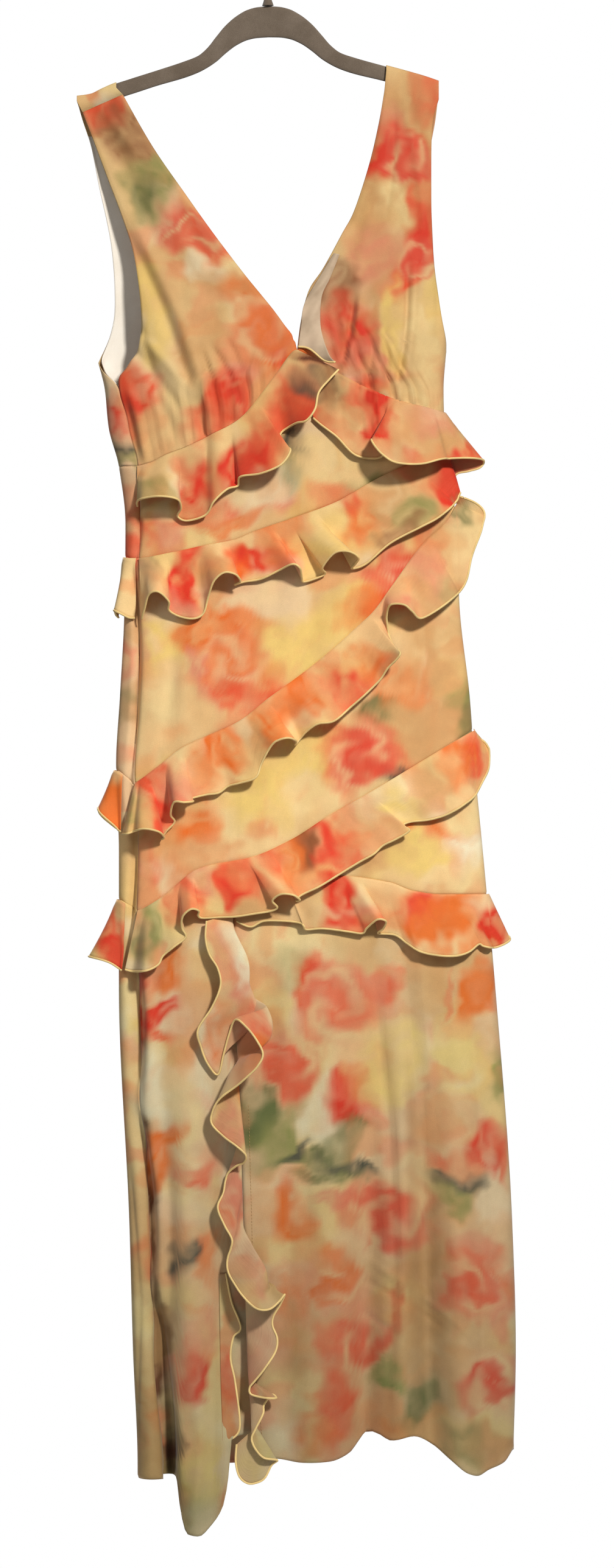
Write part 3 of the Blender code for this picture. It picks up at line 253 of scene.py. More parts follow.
# Facing that rolls out of the right neck edge: its left edge, then its free edge
Facing = namedtuple("Facing", "edge_x edge_drop free_x free_drop")
NECK_FACING = table(Facing, (
    (72, 346, 78, 347),
    (60, 366, 68, 372),
    (41, 399, 59, 393),
    (37, 424, 58, 425),
    (35, 439, 66, 454),
    (34, 446, 73, 463),
))

# Ruffles: a row for each crest and trough of the hem, set to the seam at seam_x
Wave = namedtuple("Wave", "seam_x hem_x hem_drop out")
FLARE_POWER = 1.25        # a ruffle falls straight at its seam and swings out towards its hem
CASCADE_POWER = 0.8       # the cascade swings out at its seam
RUFFLE_BUST_LEFT = table(Wave, (
    (-137, -137, 615, 8), (-132, -135, 609, 20), (-116, -114, 606, 30), (-102, -94, 609, 26),
    (-95, -90, 618, 15), (-88, -94, 626, 5.5), (-80, -84, 631, 6), (-67, -64, 625, 9),
    (-57, -55, 611, 16), (-47, -41, 598, 14), (-40, -30, 594, 6), (-34, -27, 585, 16), (-25, -5, 582, 26),
    (-18, 16, 573, 30), (-12, 26, 558, 26), (-8, 20, 553, 15), (-4, 14, 547, 8), (3, 16, 538, 5),
    (10, 24, 532, 8), (16, 33, 528, 18), (20, 43, 526, 26), (24, 52, 514, 28), (28, 56, 496, 24),
    (31, 67, 482, 18), (33, 77, 471, 12),
))
RUFFLE_BUST_RIGHT = table(Wave, (
    (45, 50, 522, 5), (56, 58, 529, 6), (70, 75, 542, 8), (88, 94, 561, 8), (106, 114, 565, 6),
    (118, 124, 562, 6), (128, 123, 556, 13), (135, 112, 546, 24), (141, 115, 553, 34),
    (147, 124, 563, 37), (155, 138, 571, 38), (166, 164, 572, 36), (175, 187, 566, 32),
    (183, 207, 564, 26), (188, 223, 564, 18), (192, 232, 566, 8), (194, 228, 573, -4),
    (197, 215, 577, -10), (200, 203, 580, -14), (202, 197, 592, -14),
))
RUFFLE_WAIST = table(Wave, (
    (-135, -132, 735, 5), (-131, -129, 725, 12), (-124, -124, 710, 24), (-115, -114, 707, 28),
    (-107, -103, 717, 22), (-102, -103, 726, 12), (-94, -91, 733, 7), (-85, -76, 735, 8),
    (-77, -66, 729, 8), (-71, -61, 712, 14), (-63, -55, 696, 24), (-55, -44, 687, 28),
    (-47, -32, 689, 26), (-42, -27, 696, 18), (-38, -33, 699, 8), (-32, -23, 696, 5), (-21, -5, 693, 7),
    (-11, 14, 684, 14), (-3, 28, 678, 24), (2, 36, 682, 24), (6, 38, 691, 14), (10, 40, 696, 6),
    (16, 54, 692, 5), (20, 63, 687, 6), (24, 60, 681, 18), (32, 73, 666, 28), (41, 88, 665, 30),
    (46, 98, 671, 25), (51, 95, 677, 14), (57, 91, 682, 5.5), (64, 106, 677, 7), (80, 132, 655, 10),
    (99, 164, 638, 14), (119, 181, 629, 16), (138, 195, 618, 18), (160, 202, 610, 14),
    (174, 204, 607, 13), (184, 205, 604, 12), (190, 206, 602, 11), (194, 207, 600, 10),
))
RUFFLE_HIP_UPPER = table(Wave, (
    (-139, -153, 964, 11), (-136, -146, 963, 22), (-131, -130, 958, 28), (-127, -114, 961, 24),
    (-123, -108, 967, 12), (-120, -111, 969, 6), (-116, -106, 961, 5), (-111, -97, 951, 6),
    (-107, -101, 943, 14), (-102, -97, 930, 26), (-94, -86, 930, 28), (-89, -77, 929, 20),
    (-85, -79, 926, 12), (-75, -63, 922, 8), (-64, -50, 920, 8), (-57, -40, 913, 7), (-50, -29, 910, 12),
    (-41, -11, 904, 16), (-33, -5, 890, 14), (-25, 2, 876, 18), (-18, 10, 866, 26), (-8, 23, 862, 30),
    (-1, 32, 865, 24), (3, 31, 869, 12), (12, 36, 863, 6), (20, 43, 855, 12), (29, 55, 847, 20),
    (41, 72, 844, 20), (54, 90, 829, 14), (70, 106, 815, 12), (85, 121, 800, 12), (96, 129, 788, 18),
    (103, 138, 779, 24), (109, 142, 772, 26), (112, 136, 765, 15), (116, 131, 755, 5), (119, 129, 744, 5),
    (123, 128, 732, 10), (128, 132, 721, 22), (135, 146, 721, 30), (142, 155, 728, 28),
    (150, 164, 735, 22), (161, 183, 725, 20), (171, 203, 709, 18), (181, 213, 694, 16),
    (189, 219, 668, 12), (196, 228, 644, 8), (199, 231, 633, 5), (201, 233, 623, 2), (204, 229, 615, -6),
    (207, 218, 608, -12), (208, 202, 604, -16), (208, 191, 615, -20),
))
RUFFLE_HIP_MIDDLE = table(Wave, (
    (-136, -150, 1108, 10), (-131, -141, 1110, 16), (-124, -125, 1108, 16), (-118, -114, 1102, 12),
    (-111, -109, 1093, 10), (-105, -97, 1083, 12), (-98, -85, 1073, 10), (-94, -89, 1063, 14),
    (-90, -88, 1051, 22), (-85, -79, 1043, 26), (-80, -71, 1045, 20), (-76, -72, 1050, 10),
    (-71, -67, 1053, 6), (-60, -49, 1052, 9), (-49, -31, 1051, 13), (-38, -12, 1048, 15),
    (-28, 6, 1045, 16), (-23, 12, 1041, 19), (-19, 7, 1034, 25), (-12, 16, 1027, 32), (-5, 29, 1028, 32),
    (2, 36, 1033, 27), (6, 32, 1034, 19), (11, 38, 1028, 15), (23, 57, 1019, 13), (40, 75, 1008, 11),
    (60, 98, 994, 9), (77, 114, 985, 9), (88, 124, 976, 8), (99, 138, 969, 10), (107, 152, 960, 14),
    (111, 145, 955, 8), (115, 153, 951, 5), (127, 171, 949, 7), (142, 187, 945, 9), (158, 200, 939, 11),
    (174, 211, 932, 12), (187, 222, 923, 12), (198, 230, 909, 10), (207, 237, 894, 6), (214, 238, 876, 0),
    (218, 236, 870, -4), (220, 233, 866, -8), (224, 226, 861, -12),
))
RUFFLE_HIP_LOWER = table(Wave, (
    (-34, -31, 1056, 3.5), (-28, -24, 1060, 4), (-21, -15, 1062, 5), (-11, -2, 1056, 6), (5, 21, 1056, 6),
    (16, 36, 1058, 7), (21, 40, 1061, 10), (25, 43, 1065, 6), (41, 61, 1064, 6), (60, 86, 1067, 7),
    (75, 102, 1069, 8), (81, 107, 1063, 14), (89, 118, 1054, 24), (97, 127, 1056, 22),
    (101, 124, 1064, 13), (106, 119, 1069, 5), (116, 137, 1071, 6), (128, 150, 1080, 10),
    (140, 163, 1088, 14), (155, 180, 1092, 16), (171, 200, 1093, 16), (185, 215, 1089, 14),
    (196, 226, 1081, 8), (203, 231, 1083, 9), (215, 242, 1085, 15), (226, 252, 1082, 12),
    (233, 259, 1078, 5), (236, 260, 1075, 0), (239, 257, 1072, -6),
))

# The slit cascade: a row for each turn of its hem. Between seam and hem it bulges sideways.
CASCADE_BULGE = [
    (1040, 0), (1064, 7), (1105, 24), (1151, 34), (1180, 26), (1206, 4), (1220, 0), (1368, 0), (1398, 12),
    (1425, 20), (1440, 15), (1452, 4), (1460, 0), (1700, 0)]
BULGE_PEAK = 27 / 4       # makes the most of share * (1 - share)**2 one
CASCADE_BULGE_OUT = 0.25  # share of the bulge that goes forwards too
CASCADE_TOP = 1047.0      # where its seam starts
CASCADE_STEP = 1.3        # least distance along the seam from row to row
CASCADE_HANG = 15.0       # least height of a row
CASCADE_LEAN = 0.25       # its rows are sewn this share of the way from the highest to the lowest place
CASCADE_SMOOTH = 8        # rounds of evening them out
CASCADE_PAST = 0.95       # two rows whose lines meet past this share of the width may do so
Cascade = namedtuple("Cascade", "hem_x hem_drop out")
RUFFLE_SLIT = table(Cascade, (
    (-63, 1056, 8), (-64, 1074, 12), (-60, 1091, 12), (-51, 1106, 14), (-48, 1124, 15), (-57, 1147, 17),
    (-72, 1171, 16), (-69, 1189, 10), (-62, 1207, 7), (-51, 1219, 5), (-45, 1198, 6), (-39, 1176, 10),
    (-32, 1160, 18), (-20, 1168, 28), (-9, 1182, 34), (-3, 1196, 36), (-9, 1209, 35), (-20, 1220, 31),
    (-30, 1229, 26), (-49, 1244, 20), (-57, 1259, 16), (-57, 1271, 16), (-44, 1284, 20), (-30, 1294, 24),
    (-21, 1303, 24), (-23, 1311, 16), (-31, 1315, 11), (-40, 1323, 5), (-43, 1332, 4), (-45, 1344, 8),
    (-51, 1359, 14), (-44, 1377, 16), (-36, 1392, 16), (-37, 1402, 13), (-40, 1411, 12), (-41, 1420, 13),
    (-39, 1429, 16), (-33, 1439, 22), (-25, 1450, 28), (-14, 1461, 32), (-5, 1465, 34), (5, 1464, 34),
    (14, 1457, 31), (20, 1450, 27), (15, 1462, 16), (8, 1474, 12), (7, 1484, 13), (12, 1497, 18),
    (10, 1511, 20), (-1, 1528, 20), (-11, 1541, 16), (-17, 1549, 13), (-16, 1556, 12), (-6, 1559, 14),
    (5, 1560, 18), (11, 1560, 16), (6, 1557, 10), (-2, 1568, 8), (-3, 1577, 12), (-11, 1593, 14),
    (-15, 1603, 14), (-11, 1614, 14), (-2, 1623, 16), (12, 1626, 14), (6, 1632, 8), (-1, 1645, 9),
    (-9, 1650, 10), (-19, 1651, 10), (-28, 1644, 9), (-32, 1628, 8), (-31, 1610, 7),
))

# Ruffles set in the slanted front seams
RUFFLES = (
    ("ruffle_bust_left", "bust", RUFFLE_BUST_LEFT), ("ruffle_bust_right", "bust", RUFFLE_BUST_RIGHT),
    ("ruffle_waist", "waist", RUFFLE_WAIST), ("ruffle_hip_upper", "hip_upper", RUFFLE_HIP_UPPER),
    ("ruffle_hip_middle", "hip_middle", RUFFLE_HIP_MIDDLE),
    ("ruffle_hip_lower", "hip_lower", RUFFLE_HIP_LOWER))

# Back ruffles run round from the left side seam to the right one, with nearly even flutes.
# first is the share where a crest stands, lift the share of the height that a crest rides up.
BackRuffle = namedtuple("BackRuffle", "name seam height crest start first lift")
BACK_RUFFLES = table(BackRuffle, (
    ("ruffle_back_waist", "back_waist", 64, 16, 0.015, 0.182, 0.16),
    ("ruffle_back_hip_upper", "back_hip_upper", 62, 24, 0.05, 0.127, 0.36),
    ("ruffle_back_hip_lower", "back_hip_lower", 72, 26, 0.05, 0.127, 0.16),
))
FLUTES, FLUTE_TROUGH = 9, 5
FLUTE_SWING = 1.6         # degrees that a flute's sides lean over
FLUTE_END = 0.015         # share of the round left free at the right side seam
FLUTE_FLAT, FLUTE_GROWS = 0.03, 0.07      # shares where the flutes start and grow to their full size
FLUTE_DRIFT, FLUTE_DRIFT_GROWS = 0.12, 0.3    # uneven spacing, from the share where it is full
FLUTE_UNEVEN, FLUTE_BEAT = 0.2, 1.7       # uneven height, and how fast it changes

# Panels between two seams: name, seam above, seam below and the height that sets the rows of faces
PANELS = (
    ("front_midriff", "bust", "waist", 150), ("front_hip_upper", "waist", "hip_upper", 250),
    ("front_hip_middle", "hip_upper", "hip_middle", 250), ("front_hip_lower", "hip_middle", "hip_lower", 150),
    ("back_midriff", "back_bust", "back_waist", 100), ("back_hip_upper", "back_waist", "back_hip_upper", 250),
    ("back_hip_lower", "back_hip_upper", "back_hip_lower", 170),
    ("back_skirt", "back_hip_lower", "hem_back", 600))

# Hanger: half of its outline, from the hook out to the end of an arm
Half = namedtuple("Half", "x top bottom")
HANGER_OUTLINE = table(Half, (
    (0, 80, 113.5), (12, 81, 114), (22, 83.5, 115.8), (34, 90, 121), (46, 100, 129.5), (56, 111.5, 138),
    (66, 123.5, 144.5), (76, 131.5, 149.5), (90, 136.8, 154.5), (120, 146, 162.5), (150, 154.8, 171.5),
    (168, 160.5, 176), (174, 164, 174.5),
))
HANGER_THICK = 5.0
HANGER_SQUARE = 0.6       # below 1 an arm's section is squarer than an oval
HANGER_MIDDLE = 80        # x up to which its outline bends most and is drawn finer
HANGER_TILT = 1.3         # degrees, its left arm hangs lower
HOOK_WIRE = 3.6
HOOK_INSIDE = 19.0
HOOK_SHANK = [(0, -79), (0, -68), (0, -57), (3.5, -48), (9, -40.5)]
HOOK_FIRST, HOOK_LAST = -52.0, 205.0    # degrees where its bend starts and ends
COLLAR_OUTSIDE = [(3.4, -70.5), (4.2, -73.5), (6.2, -79.6)]
COLLAR_BORE = 2.2

# How finely everything is drawn: steps along, rows down and sides round
BACK_COLUMNS_LEFT, BACK_STEPS = 8, 12   # the cuts of the solid back, which its lining follows
WAVE_STEPS = 10           # columns between two rows of a ruffle's table
FLUTE_STEPS = 40          # columns in a flute of a back ruffle
RUFFLE_ROWS, BACK_RUFFLE_ROWS, CASCADE_ROWS = 22, 18, 20
CUP_STEPS_LEFT, CUP_STEPS_RIGHT, BACK_BODICE_STEPS, ARCH_STEPS = 130, 120, 110, 17
UNDERLAY_GRID, FACING_GRID = (60, 14), (60, 26)
FRONT_WIDTH, BACK_WIDTH, SKIRT_HEIGHT = 420, 400, 620    # set the faces' number, with CLOTH_STEP
EDGE_SIDES, HANGER_SIDES, HOOK_SIDES, COLLAR_SIDES, STITCH_SIDES = 7, 20, 16, 28, 5
ARM_STEPS, HANGER_STEPS, HOOK_BEND_STEPS, HOOK_STEPS, COLLAR_STEPS = 40, 120, 90, 240, 12
SEAM_STEPS = 8            # rounds of reading a seam's table until its drop settles
HEM_STEPS = 4             # the same for a skirt's hem
CLOTH_STEP = 3.3          # size of a face of a panel

# Cloth, seams and edges
CLOTH_WALL = 0.5
SEAM_DIP, SEAM_DIP_WIDE = 0.35, 2.0    # a fine dip along each seam
HEM_BAND, HEM_BAND_STEP, HEM_BAND_OUT = 7.0, 1.5, 0.35    # the skirt's turned-up hem stands out a little
ROOT_DOWN, ROOT_SHARPNESS = 1.3, 7     # a ruffle comes out of its seam nearer to the dress
EDGE_ROLL, EDGE_ROLL_WIDE = 1.2, 0.03  # the edges of a bodice piece roll in, over a share of its width
# The facing puffs up, curls at its free edge, folds across and waves at its foot
FACING_PUFF, FACING_CURL, FACING_FOLD, FACING_WAVE = 2.0, 11.0, 1.8, -3.0
FACING_FOLD_LENGTH = 5.5
FACING_WAVE_FROM, FACING_WAVE_GROWS = 425, 30
FACING_CURL_FROM, FACING_FOLD_FROM, FACING_GROWS = 420, 360, 40
BEAD = 1.15               # radius of the overlocked edge of a ruffle
END_SIZE = 0.05           # a closed form narrows to this share at both ends
SEAM_LAP = 1.3            # a panel's bottom edge runs this far on, behind the seam
# At the slit the left skirt front runs on behind the right one, and deeper still behind the underlay
SLIT_LAP, SLIT_LAP_IN, SLIT_LAP_FROM = 6.0, 5.0, 0.7
SLIT_LAP_DEEP, UNDERLAY_FROM, UNDERLAY_GROWS = 13.0, 1385, 60
# Top-stitching beside the slit
STITCH, STITCH_GAP, STITCH_RADIUS, STITCH_OUT = 2.4, 1.1, 0.26, (0.0, -0.2, -0.3, -0.2, 0.0)
STITCHES_FROM, STITCHES_TO, STITCHES_ASIDE = 1250, 1625, 9

# Creases that show from a step away, and similar ones on the back
Crease = namedtuple("Crease", "x_from drop_from x_to drop_to half_width out")
CREASE_BEND, CREASE_END = 0.03, 0.18    # shares of its length by which a crease bows and fades out
FRONT_CREASES = table(Crease, (
    (-144, 330, -64, 548, 8, -6), (-132, 330, -50, 548, 9, 4), (-150, 395, -120, 470, 5, -4.5),
    (-150, 440, -92, 512, 6, -4.5), (-140, 430, -78, 495, 6, 3.8), (-128, 470, -96, 545, 5, -3),
    (-68, 452, -50, 524, 3.2, -3.9), (-60, 458, -42, 522, 3, 3), (-56, 448, -24, 512, 3.2, -3.6),
    (-40, 440, -18, 500, 3, -2.7), (-150, 508, -138, 570, 6, -4.5), (-146, 490, -128, 562, 5, 3),
    (-172, 214, -120, 330, 9, -3), (-150, 205, -96, 318, 10, 2.5), (-176, 190, -140, 238, 6, 2),
    (-120, 262, -52, 380, 8, -1.5), (-96, 330, -20, 420, 9, 1.5), (93, 398, 78, 470, 3.6, -5.1),
    (100, 392, 84, 470, 4, 3), (112, 440, 106, 494, 2.6, -3.6), (120, 430, 116, 500, 2.8, 2.7),
    (150, 372, 136, 495, 2.6, -3.3), (158, 360, 142, 500, 4, 2.4), (96, 452, 98, 492, 2.4, -3),
    (128, 445, 126, 500, 2.4, -2.7), (148, 190, 168, 330, 5, 1.5), (136, 190, 128, 300, 4, -1.6),
    (176, 300, 180, 430, 4, -1.4), (110, 300, 86, 400, 7, 1.6), (0, 520, 6, 640, 7, 1.2),
    (14, 500, 20, 620, 5, -1.4), (-60, 590, -74, 660, 6, -1), (-141, 690, -146, 905, 3.6, -8),
    (-137, 600, -138, 668, 3, -5), (-100, 700, -106, 850, 8, -1.4), (-30, 700, -36, 840, 9, 1.2),
    (60, 660, 34, 790, 8, -1.4), (96, 640, 60, 760, 9, 1.2), (150, 760, 130, 900, 9, 1.4),
    (96, 790, 60, 940, 8, -1.4), (-143, 925, -147, 1066, 4, -9), (60, 960, 40, 1010, 7, 1),
    (170, 940, 176, 1016, 8, -1.2), (-145, 1085, -139, 1230, 7, -13), (-137, 1265, -125, 1430, 7, -14),
    (-122, 1455, -106, 1665, 10, -19), (-131, 1090, -125, 1250, 6, 4), (-120, 1290, -112, 1470, 6, 5),
    (-106, 1500, -92, 1660, 8, 7), (118, 1150, 130, 1560, 6, -5), (146, 1090, 150, 1420, 3.4, -2.6),
    (160, 1080, 168, 1400, 4, 1.8), (134, 1100, 140, 1330, 4, 1.4), (210, 1110, 226, 1560, 4, -1.6),
    (90, 1430, 190, 1490, 3, -1.3), (120, 1425, 220, 1500, 3.4, 1.1), (80, 1400, 160, 1452, 3, 0.9),
    (100, 1470, 170, 1520, 3, -1), (40, 1290, 90, 1330, 4, -0.9), (60, 1240, 120, 1268, 4, 0.8),
    (-10, 1060, -4, 1160, 4, -1), (30, 1300, 26, 1500, 6, 1), (-150, 1300, -140, 1620, 3, -2),
    (-120, 1480, -100, 1640, 5, -2.2), (-70, 1560, -76, 1690, 5, 1.8),
))
BACK_CREASES = table(Crease, (
    (-120, 330, -60, 500, 8, -3), (-80, 420, -30, 540, 7, 2.5), (120, 300, 80, 480, 8, -3),
    (150, 360, 130, 520, 7, 2), (-130, 560, -120, 660, 6, -1.6), (20, 560, 26, 640, 7, 1.4),
    (110, 570, 120, 650, 6, -1.6), (-60, 700, -74, 880, 9, 1.6), (40, 690, 52, 860, 8, -1.6),
    (150, 700, 140, 850, 8, 1.4), (-30, 930, -20, 1040, 8, -1.4), (90, 910, 100, 1040, 8, 1.4),
    (-120, 1180, -126, 1500, 4, -2), (-36, 1150, -40, 1440, 4, 1.6), (40, 1200, 44, 1560, 4, -1.8),
    (130, 1120, 142, 1480, 4, 1.6), (-40, 1440, 60, 1500, 4, -1.2), (60, 1380, 150, 1440, 4, 1),
))

# The cut of the cloth that shows, in metres and square metres, to the nearest 5 mm. A ruffle's width is
# its length along the free edge, pulled straight.
Cut = namedtuple("Cut", "width length area hangs_on")

# Colours as the eye sees them, red, green and blue from 0 to 255
TONES = {
    "cream": (240, 208, 150), "shell": (232, 196, 160), "white": (242, 226, 192), "yellow": (238, 202, 120),
    "tan": (210, 158, 104), "peach": (226, 160, 108), "pink": (226, 138, 108), "coral": (232, 90, 56),
    "red": (226, 60, 38), "orange": (232, 112, 44), "brown": (140, 80, 46), "umber": (104, 58, 34),
    "sage": (150, 144, 84), "green": (108, 112, 66), "grey": (80, 78, 66)}

# Camera and studio, in metres
LOOK_AT = (0.0435, 0.0, -0.9107)
FRAME_HEIGHT = 1674.4     # millimetres that the picture spans
CAMERA_AWAY = 6.0
FLOOR_LEVEL = -1.98
WORLD_LIGHT = 0.16
LAMPS = (("key", (2.0, -4.0, 1.9), 0.6, 262.0, (1.0, 0.96, 0.9)),
         ("fill", (-2.3, -3.0, 0.9), 1.8, 22.0, (1.0, 0.97, 0.92)),
         ("rim", (-0.8, 3.4, 1.2), 1.6, 130.0, (1.0, 0.97, 0.93)))

# Painted shade down the dress, where less light falls at the top and far less towards the hem: the print's
# colour is multiplied by it. drop, then red, green and blue
PAINTED_SHADE_DOWN = [
    (100, 0.74, 0.76, 0.72), (420, 0.76, 0.75, 0.7), (600, 0.86, 0.84, 0.78), (700, 0.96, 0.95, 0.92),
    (1000, 1.0, 1.02, 1.0), (1090, 0.86, 0.94, 0.92), (1400, 0.62, 0.68, 0.66), (1700, 0.42, 0.5, 0.48)]

# Its ground: patches of cream and peach, paler from SHELL_FROM down, then thin washes of other tones.
# A wash covers where its hills are higher than least. share is its strength.
GROUND = Hills(0.6, 60, 75, 4)
GROUND_PEACH, GROUND_SHELL, SHELL_FROM, SHELL_GROWS = 0.45, 0.75, 1040, 120
Wash = namedtuple("Wash", "tone share across down seed out least")
WASHES = table(Wash, (
    ("tan", 0.42, 45, 60, 5, 1.5, 0), ("yellow", 0.45, 50, 50, 6, 1.6, 0),
    ("coral", 0.36, 22, 26, 7, 1.8, 0.3), ("orange", 0.32, 30, 24, 8, 1.8, 0.32),
    ("white", 0.4, 34, 40, 9, 1.7, 0.2),
))
# How far the dye has run, in broad tongues and in fine ones
BLEED_BROAD, BLEED_FINE = 26, 9
BLEED_X, BLEED_DROP = (10, 4.5), (12, 5)
# A blot is dense in its middle, patchy and grainy, and ends at BLOT_REACH of its half size
BLOT_DENSE, BLOT_PATCHES, BLOT_GRAIN = 0.95, 0.34, 0.26
BLOT_STRENGTH, BLOT_EDGE, BLOT_REACH = 1.12, 1.25, 1.36
# A rose: its size, how its petals wind, its heart's size, its edge, and the strength of its four layers
ROSE_SPREAD, ROSE_WIND, ROSE_HEART, ROSE_RAGGED, ROSE_EDGE, ROSE_REACH = 1.25, 7.5, 0.36, 0.16, 1.8, 1.15
ROSE_PINK, ROSE_PETALS, ROSE_CREAM, ROSE_CENTRE = 0.5, 0.74, 0.5, 0.6
# Cloth of the back is cut from another place: turned over, and moved on round the print's length
Turned = namedtuple("Turned", "turned_at start moved length")
BACK_CUT = Turned(60, 160, 620, 1560)
BACK_RUFFLE_CUT = Turned(40, 480, 250, 620)
RUFFLE_RUNS_ON = 0.5      # how much of a flute's depth the print runs on for
